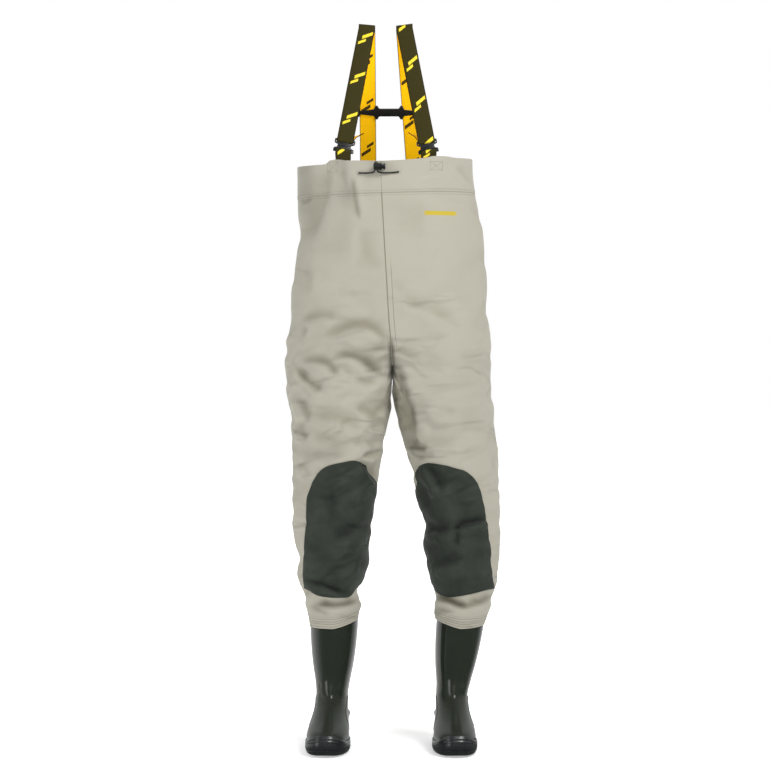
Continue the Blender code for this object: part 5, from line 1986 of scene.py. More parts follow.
    def side_rings(self) -> list[np.ndarray]:
        """Rings of the sole from the ground up its side, over its edge and down inside.

        Returns:
            The rings in order.
        """
        widest = self.outline(np.array([self.widest_z]))
        outward = self.outward(widest)[0]
        made = []
        for row in SOLE_SIDE:
            flat = widest[0] + outward * row.out
            lift = self.toe_lift(flat[:, 1]) + row.lift * self.heel_lift(flat[:, 1])
            made.append(np.column_stack([flat, row.z + lift]))
        low, high = made[-1], self.edge_ring(GAP + self.foxing, 100, 0)
        toe = smooth(0.74, 0.86, self.along())[:, None]
        for share, rib in TOE_RIBS:
            ring = low + (high - low) * share
            made.append(ring + np.column_stack([outward * rib, np.zeros(self.steps)]) * toe)
        made.append(high - np.column_stack([outward * 0.4, np.zeros(self.steps)]))
        made.append(self.edge_ring(GAP + self.foxing - 1.2, 100, -0.5))
        made.append(self.edge_ring(GAP, 100, 0))
        made.append(self.edge_ring(GAP, 42, 0.5))
        made.append(self.edge_ring(GAP, 30, 1.0))
        made.append(self.rings(np.array([14.3]), GAP, 0.0)[0])
        return made

    def edge_ring(self, out: float, highest: float, below: float) -> np.ndarray:
        """Ring on the upper's face at the sole's top edge, or lower where a limit is lower.

        Args:
            out: How far the ring stands off the face.
            highest: Limit on its height.
            below: How far it lies below the edge.

        Returns:
            The ring's points.
        """
        z = np.minimum(column(SOLE_EDGE, "along", "z", self.along()) - below, highest)
        rings = self.rings(z, out, 0.0)
        return rings[np.arange(self.steps), np.arange(self.steps)]

    def sole(self, material: bpy.types.Material) -> bpy.types.Object:
        """Build the sole and cut its arch and tread.

        Args:
            material: Its PVC.
        """
        rings = self.stand(np.array(self.side_rings()))
        numbers = np.arange(rings[..., 0].size).reshape(rings.shape[:2])
        faces = self.faces(numbers[::-1], False)
        for ring in (numbers[0], numbers[-1]):
            half = len(ring) // 2
            for k in range(half):
                corners = [ring[k], ring[k + 1], ring[-(k + 1) % len(ring)], ring[-k % len(ring)]]
                faces.append(list(dict.fromkeys(corners)))
        sole = mesh_piece("sole_" + self.side.word, rings.reshape(-1, 3), faces, material)
        outward_faces(sole)
        cutters = [self.prism(self.arch, 80.0)]
        for y in self.heel_grooves + self.fore_grooves:
            z = float(self.toe_lift(np.array(float(y))))
            half, depth = self.groove_width / 2, self.groove_depth
            narrow = half - self.groove_slope
            low, high = z - depth, z + depth
            profile = ((y - half, low), (y + half, low), (y + narrow, high), (y - narrow, high))
            cutters.append(self.prism(profile, 70.0))
        for cutter in cutters:
            cut_away(sole, cutter)
        crisp(sole.data, 35)
        return sole

    def prism(self, profile: Sequence[tuple[float, float]], half: float) -> bpy.types.Object:
        """Solid of a side profile, as wide as the boot, standing where the boot stands.

        Args:
            profile: Corners as (y, z).
            half: Half its width.

        Returns:
            The solid, to cut with.
        """
        near = [(-half, y, z) for y, z in profile]
        far = [(half, y, z) for y, z in profile]
        count = len(profile)
        faces = [list(range(count)), list(range(2 * count - 1, count - 1, -1))]
        faces += [[k, k + count, (k + 1) % count + count, (k + 1) % count] for k in range(count)]
        cutter = mesh_piece("cutter", self.stand(np.array(near + far, float)), faces, bpy.data.materials[0])
        outward_faces(cutter)
        return cutter


def outward_faces(piece: bpy.types.Object) -> None:
    """Turn every face of a closed mesh outwards.

    Args:
        piece: The piece to turn.
    """
    bm = bmesh.new()
    bm.from_mesh(piece.data)
    bmesh.ops.recalc_face_normals(bm, faces=bm.faces)
    bm.to_mesh(piece.data)
    bm.free()


def cut_away(piece: bpy.types.Object, cutter: bpy.types.Object) -> None:
    """Cut one closed mesh out of another and drop the cutter.

    Args:
        piece: What is cut.
        cutter: What is taken away; it is removed afterwards.
    """
    cut = piece.modifiers.new("cut", "BOOLEAN")
    cut.operation = "DIFFERENCE"
    cut.solver = "EXACT"
    cut.object = cutter
    made = evaluated_mesh(piece)
    piece.modifiers.clear()
    old = piece.data
    piece.data = made
    bpy.data.meshes.remove(old)
    bpy.data.objects.remove(cutter, do_unlink=True)


def evaluated_mesh(piece: bpy.types.Object) -> bpy.types.Mesh:
    """Plain mesh of an object with its modifiers applied.

    Args:
        piece: Object with live modifiers.

    Returns:
        Its plain mesh.
    """
    bpy.context.view_layer.update()
    evaluated = piece.evaluated_get(bpy.context.evaluated_depsgraph_get())
    return bpy.data.meshes.new_from_object(evaluated)


# Braces, buckles and loops


BRACES = {
    Side.RIGHT: BraceRow(-51, -53, 1652, -101, 1374, 30, 12),
    Side.LEFT: BraceRow(57, 33, 1652, 82, 1373, -28, 16),
}


class Station(NamedTuple):
    """Middle of a band and the direction across it."""

    centre: Vector
    across: Vector


@dataclass
class Band:
    """Woven band of constant width and thickness along a run of stations."""

    width: float
    wall: float
    step: float = 3.5

    def run(self, stations: Sequence[Station]) -> tuple[np.ndarray, np.ndarray]:
        """Round the corners of the run and space it evenly.

        Args:
            stations: Coarse stations.

        Returns:
            Centres and unit directions across.
        """
        centres = np.array([station.centre for station in stations])
        across = np.array([station.across.normalized() for station in stations])
        both = np.hstack([centres, across * 20])
        for _ in range(2):
            inner = np.empty((2 * len(both) - 2, 6))
            inner[0::2] = both[:-1] * 0.75 + both[1:] * 0.25
            inner[1::2] = both[:-1] * 0.25 + both[1:] * 0.75
            both = np.vstack([both[:1], inner, both[-1:]])
        along = run_lengths(both[:, :3])
        at = np.linspace(0, along[-1], int(along[-1] / self.step))
        both = np.column_stack([np.interp(at, along, both[:, k]) for k in range(6)])
        return both[:, :3], unit(both[:, 3:])

    def build(
        self, name: str, stations: Sequence[Station], material: bpy.types.Material, start: float = 0.0
    ) -> bpy.types.Object:
        """Build the band with its weave coordinates.

        Args:
            name: Name of the piece.
            stations: Run of the band; its outer face lies to the left of the run seen along across.
            material: Its webbing.
            start: Where in the woven repeat the band was cut, in metres.
        """
        centres, across = self.run(stations)
        tangent = unit(np.gradient(centres, axis=0))
        across = unit(across - tangent * (across * tangent).sum(1, keepdims=True))
        outward = np.cross(tangent, across)
        half, thick = self.width / 2, self.wall / 2
        edge = [(half / 2, 1), (half - 0.6, 0.92), (half, 0.4)]
        top = [(-a, n) for a, n in reversed(edge)] + [(0, 1)] + edge
        section = [(a, n * thick) for a, n in top] + [(a, -n * thick) for a, n in reversed(top)]
        u = [0.5 + a / self.width for a, _ in top] + [1.5 - a / self.width for a, _ in reversed(top)]
        rings = [centres + across * a + outward * n for a, n in section]
        points = np.stack(rings, axis=1)
        rows, columns = points.shape[:2]
        quads = grid_quads(rows, columns, True)
        uv = ring_uv(np.array(u + [2.0]), run_lengths(centres) * MM + start)
        first, last = list(range(columns)), list(range((rows - 1) * columns, rows * columns))
        faces = quads.tolist() + [first[::-1], last]
        uv = np.vstack([uv, np.full((2 * columns, 2), 0.02)])
        return mesh_piece(name, points.reshape(-1, 3), faces, material, uv)


def ring_uv(u: np.ndarray, v: np.ndarray) -> np.ndarray:
    """Texture coordinates of each corner of a closed grid's faces.

    Args:
        u: Value at each column, with one more for the seam.
        v: Value at each row.

    Returns:
        One coordinate a face corner, in the order of grid_quads.
    """
    r, c = np.meshgrid(np.arange(len(v) - 1), np.arange(len(u) - 1), indexing="ij")
    r, c = r.ravel(), c.ravel()
    corners = [np.column_stack([u[c + i], v[r + j]]) for i, j in ((0, 0), (1, 0), (1, 1), (0, 1))]
    return np.stack(corners, axis=1).reshape(-1, 2)


@dataclass
class Brace:
    """One brace: its webbing, both halves of its buckle and its loop on the bib."""

    side: Side
    body: Body
    width: float = 38.0
    wall: float = 2.0
    fold_radius: float = 9.0
    bar_height: float = 4.5
    bar_depth: float = 4.0
    base_depth: float = 5.0
    top_length: float = 14.0
    base_length: float = 15.0
    loop_wall: float = 1.6
    edge: float = 0.7
    cut_right: float = 0.0
    cut_left: float = 0.038
    cut_loop: float = 0.058

    def __post_init__(self) -> None:
        """Work out the key points of the run and the axes of the buckle."""
        row = BRACES[self.side]
        rim_z, band_wall = self.body.rim_z, self.body.band_wall
        wall_y = self.bib_y(row.back_x, rim_z, False)
        self.sewn = Vector((row.back_x, wall_y - band_wall - 2.2, rim_z - 70))
        self.leaves = Vector((row.back_x, wall_y - band_wall - 3.2, rim_z - 4))
        self.fold = Vector((row.fold_x, 0, row.fold_z - self.fold_radius))
        rim_y = self.bib_y(row.buckle_x + self.side.value * 6, rim_z, True)
        self.bar = Vector((row.buckle_x, rim_y + 9, row.buckle_z))
        self.down = (self.bar - self.fold).normalized()
        slope = (self.fold.x - self.bar.x) / (self.fold.z - self.bar.z)
        across = Vector((1, 0, -slope))
        self.across = (across - self.down * across.dot(self.down)).normalized()
        self.front = self.down.cross(self.across).normalized()
        if self.front.y > 0:
            self.front.negate()
        rear_slope = (self.fold.x - row.back_x) / (self.fold.z - self.leaves.z)
        self.rear_across = Vector((1, 0, -rear_slope)).normalized()

    def bib_y(self, x: float, z: float, front: bool) -> float:
        """Y of the bib's smooth face at an X, on its front or back.

        Args:
            x: Place across.
            z: Height.
            front: Whether on the front.

        Returns:
            The Y there.
        """
        shares = np.linspace(0, 0.5, 400) if front else np.linspace(1, 0.5, 400)
        seam = float(column(TORSO, "z", "seam", np.array([z]))[0])
        side = Side.RIGHT if x < seam else Side.LEFT
        line = self.body.torso_point(z, side, shares)
        return float(np.interp(abs(x - seam), np.abs(line[:, 0] - seam), line[:, 1]))

    def bib_across(self, x: float, z: float, front: bool) -> Vector:
        """Level direction along the bib's face at an X.

        Args:
            x: Place across.
            z: Height.
            front: Whether on the front.

        Returns:
            The direction.
        """
        reach = 15.0
        rise = self.bib_y(x + reach, z, front) - self.bib_y(x - reach, z, front)
        return Vector((2 * reach, rise, 0)).normalized()

    def back_point(self, z: float) -> Vector:
        """Middle of the brace's rear run at a height.

        Args:
            z: The height.

        Returns:
            The middle there.
        """
        start = self.leaves + Vector((0, 0, 12))
        end = self.fold + Vector((0, self.fold_radius, 0))
        return start.lerp(end, (z - start.z) / (end.z - start.z))

    def frame(self) -> Matrix:
        """Buckle frame: X across, Y away from the viewer's side, Z up the brace, at its top bar."""
        axes = Matrix((self.across, -self.front, -self.down)).transposed().to_4x4()
        return Matrix.Translation(self.bar) @ axes

    def stations(self) -> list[Station]:
        """Run of the brace from the back of the bib over the shoulder to its free tail.

        Returns:
            Stations in order.
        """
        row = BRACES[self.side]
        level = self.bib_across(row.back_x, self.body.rim_z, False)
        rear = self.rear_across
        run = [Station(self.sewn, level), Station(self.leaves, level)]
        run.append(Station(self.back_point(self.leaves.z + 14), level.lerp(rear, 0.5)))
        climb = self.fold.z - self.leaves.z
        for share in (0.1, 0.25, 0.45, 0.65, 0.85, 0.97):
            run.append(Station(self.back_point(self.leaves.z + climb * share), rear))
        for k in range(9):
            turn = math.pi * k / 8
            arc = Vector((0, math.cos(turn), math.sin(turn))) * self.fold_radius
            run.append(Station(self.fold + arc, rear.lerp(self.across, k / 8)))
        front_start = self.fold + Vector((0, -self.fold_radius, 0))
        wrap = self.bar_depth / 2 + GAP + self.wall / 2
        at_bar = self.bar + self.front * wrap
        for share in (0.06, 0.25, 0.5, 0.75, 0.94):
            run.append(Station(front_start.lerp(at_bar, share), self.across))
        under = self.down * (self.bar_height / 2 + GAP)
        run.append(Station(at_bar, self.across))
        for k in range(9):
            turn = math.pi * k / 8
            arc = self.front * math.cos(turn) * wrap + self.down * math.sin(turn) * (self.wall + GAP)
            run.append(Station(self.bar + under + arc, self.across))
        behind = self.bar - self.front * (wrap + 0.4)
        sign = self.side.value
        twist = Vector((0.86, -0.25 * sign, -0.3 * sign)).normalized()
        run.append(Station(behind - self.down * 4, self.across))
        for x, y, z, turn in ((0.2, 8, 0.7, 0.4), (0.6, 20, 1.0, 0.8), (1.0, 33, 1.3, 1.0)):
            step = Vector((x * row.tail_x, y, z * row.tail_z))
            run.append(Station(behind + step, self.across.lerp(twist, turn)))
        return run

    def loop_stations(self) -> list[Station]:
        """Run of the loop from inside the bib, round the lower bar of the buckle and back.

        Returns:
            Stations in order.
        """
        bar = self.frame() @ Vector((0, 0, -self.top_length - self.base_length - GAP + 2))
        radius = math.hypot(self.base_depth / 2, 2) + 2 * GAP + self.loop_wall / 2
        across = self.bib_across(bar.x, self.body.rim_z, True)
        rim = self.body.rim_z + self.body.rim_tilt * bar.x
        inside = self.bib_y(bar.x, self.body.rim_z, True) + self.body.band_wall + 2.2
        run = [Station(Vector((bar.x, inside, rim - 62)), across)]
        run.append(Station(Vector((bar.x, inside, rim + 2.5)), across))
        for k in range(9):
            turn = math.radians(-30 + 30 * k)
            arc = self.front * math.cos(turn) - self.down * math.sin(turn)
            run.append(Station(bar + arc * radius, self.across))
        run.append(Station(Vector((bar.x, inside + self.loop_wall + 0.5, rim + 2.5)), across))
        run.append(Station(Vector((bar.x, inside + self.loop_wall + 0.4, rim - 58)), across))
        return run

    def webbing(self, material: bpy.types.Material) -> bpy.types.Object:
        """Build the brace.

        Args:
            material: Its webbing.
        """
        start = self.cut_right if self.side is Side.RIGHT else self.cut_left
        band = Band(self.width, self.wall)
        return band.build("webbing_" + self.side.word, self.stations(), material, start)

    def loop(self, material: bpy.types.Material) -> bpy.types.Object:
        """Build the loop, its outer face out."""
        band = Band(self.width - 3, self.loop_wall, 2.0)
        return band.build("loop_" + self.side.word, self.loop_stations()[::-1], material, self.cut_loop)

    def buckle_top(self, material: bpy.types.Material) -> bpy.types.Object:
        """Upper half: a bar for the brace, a waisted body and a thumb rib.

        Args:
            material: Its plastic.
        """
        bar, foot = self.bar_height / 2, -self.top_length
        outline = mirrored((22, bar), (23, bar - 1), (23.5, -4), (22.5, -8), (16, -10.5), (14.5, foot))
        parts = [plate(outline, [slot(20, -bar - 4.2, -bar)], self.bar_depth, self.edge)]
        rib = mirrored((12, -8.4), (13, -9.2), (12, -10))
        parts.append(plate(rib, [], self.bar_depth + 1.4, 0.5))
        return moulded("clip_top_" + self.side.word, parts, self.frame(), material)

    def buckle_base(self, material: bpy.types.Material) -> bpy.types.Object:
        """Lower half: a housing for the prongs with two ribs, and a bar for the loop.

        Args:
            material: Its plastic.
        """
        start = -self.top_length - GAP
        foot = start - self.base_length
        waist = ((15, start), (16, start - 2.5), (15, start - 4.5))
        outline = mirrored(*waist, (22, start - 6.5), (23.5, foot + 3), (22.5, foot))
        parts = [plate(outline, [slot(20, foot + 4, foot + 7.5)], self.base_depth, self.edge)]
        for rise in (1.6, 3.4):
            z = start - rise
            rib = mirrored((11, z + 0.5), (11, z - 0.5))
            parts.append(plate(rib, [], self.base_depth + 1.0, 0.4))
        return moulded("clip_base_" + self.side.word, parts, self.frame(), material)


Solid = tuple[np.ndarray, list[list[int]]]


def mirrored(*half: tuple[float, float]) -> list[tuple[float, float]]:
    """Corners of a right half and, on round, of its mirror image."""
    return [*half, *((-x, z) for x, z in reversed(half))]


def slot(half_width: float, low: float, high: float) -> list[tuple[float, float]]:
    """Corners of a slot across a plate."""
    return [(-half_width, low), (half_width, low), (half_width, high), (-half_width, high)]


def plate(
    outline: Sequence[tuple[float, float]],
    holes: Sequence[Sequence[tuple[float, float]]],
    depth: float,
    edge: float,
) -> Solid:
    """Flat moulded solid in X and Z with rounded edges, centred on its thickness.

    Args:
        outline: Its corners.
        holes: Corners of each hole.
        depth: Thickness along Y.
        edge: Radius of its edges.

    Returns:
        Vertices and faces in millimetres.
    """
    curve = bpy.data.curves.new("plate", "CURVE")
    curve.dimensions = "2D"
    curve.fill_mode = "BOTH"
    curve.extrude = depth / 2 - edge
    curve.bevel_depth = edge
    curve.bevel_resolution = 2
    curve.offset = -edge
    for loop in [outline, *holes]:
        spline = curve.splines.new("POLY")
        spline.points.add(len(loop) - 1)
        spline.use_cyclic_u = True
        for point, (x, z) in zip(spline.points, loop):
            point.co = (x, z, 0, 1)
    flat = linked("plate", curve)
    mesh = evaluated_mesh(flat)
    bpy.data.objects.remove(flat, do_unlink=True)
    bm = bmesh.new()
    bm.from_mesh(mesh)
    bpy.data.meshes.remove(mesh)
    bmesh.ops.remove_doubles(bm, verts=bm.verts, dist=1e-3)
    bmesh.ops.rotate(bm, verts=bm.verts, matrix=Matrix.Rotation(math.pi / 2, 3, "X"))
    bmesh.ops.recalc_face_normals(bm, faces=bm.faces)
    points = np.array([vertex.co for vertex in bm.verts])
    faces = [[vertex.index for vertex in face.verts] for face in bm.faces]
    bm.free()
    return points, faces


def moulded(
    name: str, parts: Sequence[Solid], frame: Matrix, material: bpy.types.Material, sharp: float = 40
) -> bpy.types.Object:
    """Join solids in one piece and put it in its place.

    Args:
        name: Name of the piece.
        parts: Solids in the frame's own axes, in millimetres.
        frame: Where they go.
        material: Their finish.
        sharp: Angle past which an edge stays crisp.
    """
    points, faces = [], []
    for part_points, part_faces in parts:
        first = sum(len(group) for group in points)
        points.append(part_points)
        faces += [[number + first for number in face] for face in part_faces]
    stacked = np.vstack(points)
    turn = np.array(frame.to_3x3())
    return mesh_piece(name, stacked @ turn.T + np.array(frame.translation), faces, material, None, sharp)


@dataclass
class BraceLink:
    """Moulded link that keeps the braces together behind the shoulders."""

    right: Brace
    left: Brace
    height: float = 1460.0
    depth: float = 8.0
    edge: float = 1.6

    def build(self, material: bpy.types.Material) -> bpy.types.Object:
        """Build the link with its two slots.

        Args:
            material: Its plastic.
        """
        ends = (self.right.back_point(self.height), self.left.back_point(self.height))
        span = (ends[1] - ends[0]).length / 2
        half = self.right.width / 2
        near, far = span - half, span + half
        profile = [(0, 9), (near - 9, 9), (near - 6.5, 11), (near - 4, 16), (near + 1, 16), (near + 5, 8)]
        profile += [(far - 2, 4), (far + 1, 10), (far + 5, 10)]
        upper = [(-x, z) for x, z in reversed(profile[1:])] + profile
        lower = [(x, -z) for x, z in reversed(upper)]
        tilt = math.atan2(self.right.fold.y - self.right.leaves.y, self.right.fold.z - self.right.leaves.z)
        frame = Matrix.Translation((ends[0] + ends[1]) / 2) @ Matrix.Rotation(-tilt, 4, "X")
        link = moulded("strap_link", [plate(upper + lower, [], self.depth, self.edge)], frame, material)
        for brace, end in ((self.right, ends[0]), (self.left, ends[1])):
            cut_away(link, self.slot_cutter(brace, end))
        crisp(link.data, 40)
        return link

    def slot_cutter(self, brace: Brace, end: Vector) -> bpy.types.Object:
        """Block the size of the webbing's slot, along the brace.

        Args:
            brace: The brace that goes through.
            end: Middle of the slot.

        Returns:
            The block, to cut with.
        """
        run = (brace.back_point(self.height + 50) - brace.back_point(self.height)).normalized()
        across = (brace.rear_across - run * brace.rear_across.dot(run)).normalized()
        axes = Matrix((across, run.cross(across), run)).transposed().to_4x4()
        bm = bmesh.new()
        block = Matrix.Diagonal((brace.width + 1.2, brace.wall + 1.0, 80, 1))
        bmesh.ops.create_cube(bm, size=1, matrix=block)
        points = np.array([vertex.co for vertex in bm.verts])
        faces = [[vertex.index for vertex in face.verts] for face in bm.faces]
        bm.free()
        return moulded("cutter", [(points, faces)], Matrix.Translation(end) @ axes, bpy.data.materials[0])


# Drawcord and its lock


class CordPoint(NamedTuple):
    """Point of a cord: X, height against the lock, how far it lies back on the bib."""

    x: float
    rise: float
    lie: float


CORD_RUNS = {
    Side.RIGHT: (
        CordPoint(-71, -13.5, 1.0), CordPoint(-66, -13.7, 1.0), CordPoint(-61, -13.9, 1.0),
        CordPoint(-56, -14.0, 0.96), CordPoint(-51.5, -14.0, 0.85), CordPoint(-47.5, -13.9, 0.66),
        CordPoint(-44, -13.8, 0.45), CordPoint(-41.2, -13.6, 0.28), CordPoint(-38.2, -12.8, 0.14),
        CordPoint(-35.7, -11.0, 0.05), CordPoint(-34.2, -8.7, 0.01),
    ),
    Side.LEFT: (
        CordPoint(20, -11.2, 1.0), CordPoint(14, -12.0, 1.0), CordPoint(8, -12.7, 1.0),
        CordPoint(2, -13.2, 1.0), CordPoint(-4, -13.6, 0.97), CordPoint(-9, -13.8, 0.88),
        CordPoint(-13, -13.9, 0.72), CordPoint(-16.5, -13.9, 0.54), CordPoint(-19.5, -13.8, 0.36),
        CordPoint(-22.2, -13.5, 0.21), CordPoint(-25, -12.7, 0.1), CordPoint(-27.3, -11.0, 0.03),
        CordPoint(-28.8, -8.7, 0.01),
    ),
}
CORD_IN_LOCK = (-5.4, -1.0, 3.5, 8.0, 11.0)


def turned(profile: Sequence[tuple[float, float]], sides: int) -> Solid:
    """Solid of revolution about X from (x, radius) points, closed at both ends.

    Args:
        profile: Points from end to end.
        sides: Sides of a ring.

    Returns:
        Points and faces.
    """
    turns = 2 * math.pi * np.arange(sides) / sides
    rings = [np.column_stack([np.full(sides, x), r * np.cos(turns), r * np.sin(turns)]) for x, r in profile]
    numbers = np.arange(len(profile) * sides).reshape(len(profile), sides)
    faces = grid_quads(len(profile), sides, True)[:, ::-1].tolist()
    faces += [numbers[0].tolist(), numbers[-1][::-1].tolist()]
    return np.vstack(rings), faces


@dataclass
class CordLock:
    """Drawcord of the chest hem: two cords, a barrel with ribs and a sprung button."""

    brace: Brace
    centre: tuple[float, float, float] = (-28, -136, 1313)
    radius: float = 8.0
    length: float = 19.0
    button_radius: float = 5.0
    travel: float = 3.0
    cord_width: float = 3.5
    cord_sides: int = 14
    slot_x: float = -3.5
    slot_width: float = 9.6
    slot_depth: float = 4.6
    bore_depth: float = 8.0

    def barrel(self, material: bpy.types.Material) -> bpy.types.Object:
        """Build the barrel, bored for the button and slotted for both cords.

        Args:
            material: Its plastic.
        """
        end, r = self.length / 2, self.radius
        profile = [(-end, r - 2.2), (-end + 0.5, r - 1.1), (-end + 1.4, r - 0.3), (-end + 2.4, r)]
        for x in np.arange(end - 5.4, end - 1.6, 1.2):
            profile += [(x, r), (x + 0.25, r - 0.45), (x + 0.65, r - 0.45), (x + 0.9, r)]
        profile += [(end - 0.9, r), (end - 0.3, r - 0.3), (end, r - 0.9)]
        frame = Matrix.Translation(self.centre)
        barrel = moulded("lock_shell", [turned(profile, 40)], frame, material)
        outward_faces(barrel)
        bore = [(end - self.bore_depth, self.button_radius + GAP), (end + 12, self.button_radius + GAP)]
        cutter = moulded("cutter", [turned(bore, 40)], frame, material)
        outward_faces(cutter)
        cut_away(barrel, cutter)
        low, high = self.slot_x - self.slot_width / 2, self.slot_x + self.slot_width / 2
        hole = [(low, -20), (high, -20), (high, 20), (low, 20)]
        cutter = moulded("cutter", [plate(hole, [], self.slot_depth, 0.8)], frame, material)
        cut_away(barrel, cutter)
        crisp(barrel.data, 40)
        return barrel

    def button(self, material: bpy.types.Material) -> bpy.types.Object:
        """Build the button: a stem in the bore and a domed head that stands clear by its travel.

        Args:
            material: Its plastic.
        """
        end, r = self.length / 2, self.radius - 0.6
        neck = end + self.travel + 0.6
        stem = self.button_radius
        profile = [(end - 3.5, stem - 0.4), (end - 3.1, stem), (neck, stem)]
        profile += [(neck, r - 0.5), (neck + 0.5, r), (neck + 2.6, r), (neck + 3.4, r - 0.5)]
        profile += [(neck + 4.0, r - 1.4), (neck + 4.4, r - 2.6)]
        button = moulded("lock_cap", [turned(profile, 40)], Matrix.Translation(self.centre), material)
        outward_faces(button)
        return button

    def route(self, side: Side) -> np.ndarray:
        """Points of one cord: from its eyelet along the bib, up through the lock to its cut end.

        Args:
            side: Which cord.

        Returns:
            The points in order.
        """
        lock_x, y, z = self.centre
        points = []
        for x, rise, lie in CORD_RUNS[side]:
            wall_y = self.brace.bib_y(x, z + rise, True)
            on_wall = wall_y - self.brace.body.band_step - self.cord_width / 2 - 0.6
            points.append((x, y + (on_wall - y) * lie, z + rise))
        slot_x = lock_x + self.slot_x + side.value * (self.cord_width / 2 + GAP)
        points += [(slot_x, y, z + rise) for rise in CORD_IN_LOCK]
        return np.array(points)

    def cord(self, side: Side, material: bpy.types.Material) -> tuple[bpy.types.Object, np.ndarray]:
        """Build one cord as a braided tube.

        Args:
            side: Which cord.
            material: Its braid.
        """
        line = flowing_line(self.route(side), 64)
        tangent = unit(np.gradient(line, axis=0))
        first = unit(np.cross(tangent, (0, 1, 0)))
        second = np.cross(tangent, first)
        radius = np.full(len(line), self.cord_width / 2)
        radius[0] *= 0.8
        radius[-1] *= 0.7
        sides = self.cord_sides
        turns = (2 * math.pi * np.arange(sides) / sides)[None, :, None]
        ring = first[:, None] * np.cos(turns) + second[:, None] * np.sin(turns)
        points = line[:, None] + ring * radius[:, None, None]
        numbers = np.arange(len(line) * sides).reshape(len(line), sides)
        faces = grid_quads(len(line), sides, True).tolist()
        faces += [numbers[0][::-1].tolist(), numbers[-1].tolist()]
        uv = ring_uv(np.linspace(0, 1, sides + 1), run_lengths(line) * MM)
        uv = np.vstack([uv, np.zeros((2 * sides, 2))])
        cord = mesh_piece("cord_" + side.word, points.reshape(-1, 3), faces, material, uv)
        outward_faces(cord)
        return cord, line


# Stitching


class StitchTree:
    """Geometry nodes that sew a row of stitches along a line."""

    def __init__(self) -> None:
        """Build the tree once for every row."""
        self.tree = tree = bpy.data.node_groups.new("stitch_row", "GeometryNodeTree")
        kinds = {"Line": "Geometry", "Pitch": "Float", "Thread": "Float", "Material": "Material"}
        self.sockets = {}
        for name, kind in kinds.items():
            socket = tree.interface.new_socket(name, in_out="INPUT", socket_type="NodeSocket" + kind)
            self.sockets[name] = socket.identifier
        tree.interface.new_socket("Stitches", in_out="OUTPUT", socket_type="NodeSocketGeometry")
        start = add(tree, "NodeGroupInput").node.outputs
        line = add(tree, "GeometryNodeMeshToCurve", None, {"Mesh": start["Line"]})
        spacing = {"Curve": line, "Length": start["Pitch"]}
        points = add(tree, "GeometryNodeCurveToPoints", {"mode": "LENGTH"}, spacing)
        along = points.node.outputs["Tangent"]
        turn = add(tree, "FunctionNodeAlignRotationToVector", {"axis": "X"}, {"Vector": along})
        half = add(tree, MATH, {"operation": "MULTIPLY", 1: 0.36}, {0: start["Pitch"]})
        size = add(tree, "ShaderNodeCombineXYZ", None, {0: half, 1: start["Thread"], 2: start["Thread"]})
        bead = add(tree, "GeometryNodeMeshUVSphere", {"Segments": 6, "Rings": 4, "Radius": 1.0})
        row = {"Points": points, "Instance": bead, "Rotation": turn, "Scale": size}
        sewn = add(tree, "GeometryNodeInstanceOnPoints", None, row)
        real = add(tree, "GeometryNodeRealizeInstances", None, {0: sewn})
        done = add(tree, "GeometryNodeSetMaterial", None, {"Geometry": real, "Material": start["Material"]})
        add(tree, "NodeGroupOutput", None, {0: done})

    def sew(
        self,
        name: str,
        lines: Sequence[np.ndarray],
        material: bpy.types.Material,
        pitch: float,
        thread: float,
    ) -> bpy.types.Object:
        """Sew rows of stitches along lines.

        Args:
            name: Name of the piece.
            lines: Lines in table millimetres.
            material: The thread.
            pitch: Length from stitch to stitch.
            thread: Half the thread's thickness.
        """
        points, edges = [], []
        for line in lines:
            first = sum(len(group) for group in points)
            points.append(np.asarray(line))
            edges += [(first + k, first + k + 1) for k in range(len(line) - 1)]
        mesh = bpy.data.meshes.new(name)
        mesh.from_pydata(placed(np.vstack(points)).tolist(), edges, [])
        piece = linked(name, mesh)
        rows = piece.modifiers.new("stitches", "NODES")
        rows.node_group = self.tree
        for socket, value in (("Pitch", pitch * MM), ("Thread", thread * MM), ("Material", material)):
            rows[self.sockets[socket]] = value
        made = evaluated_mesh(piece)
        piece.modifiers.clear()
        piece.data = made
        bpy.data.meshes.remove(mesh)
        made.shade_smooth()
        return piece


class StitchBox(NamedTuple):
    """Sewn box with a cross in it: its edges across and up, and whether it is in front."""

    right: float
    left: float
    low: float
    high: float
    front: bool


STITCH_BOXES = (
    StitchBox(-141, -117, 1303, 1325.5, True),
    StitchBox(90, 118, 1308, 1327, True),
    StitchBox(-62, -34, 1296, 1322, False),
    StitchBox(14, 42, 1298, 1324, False),
)


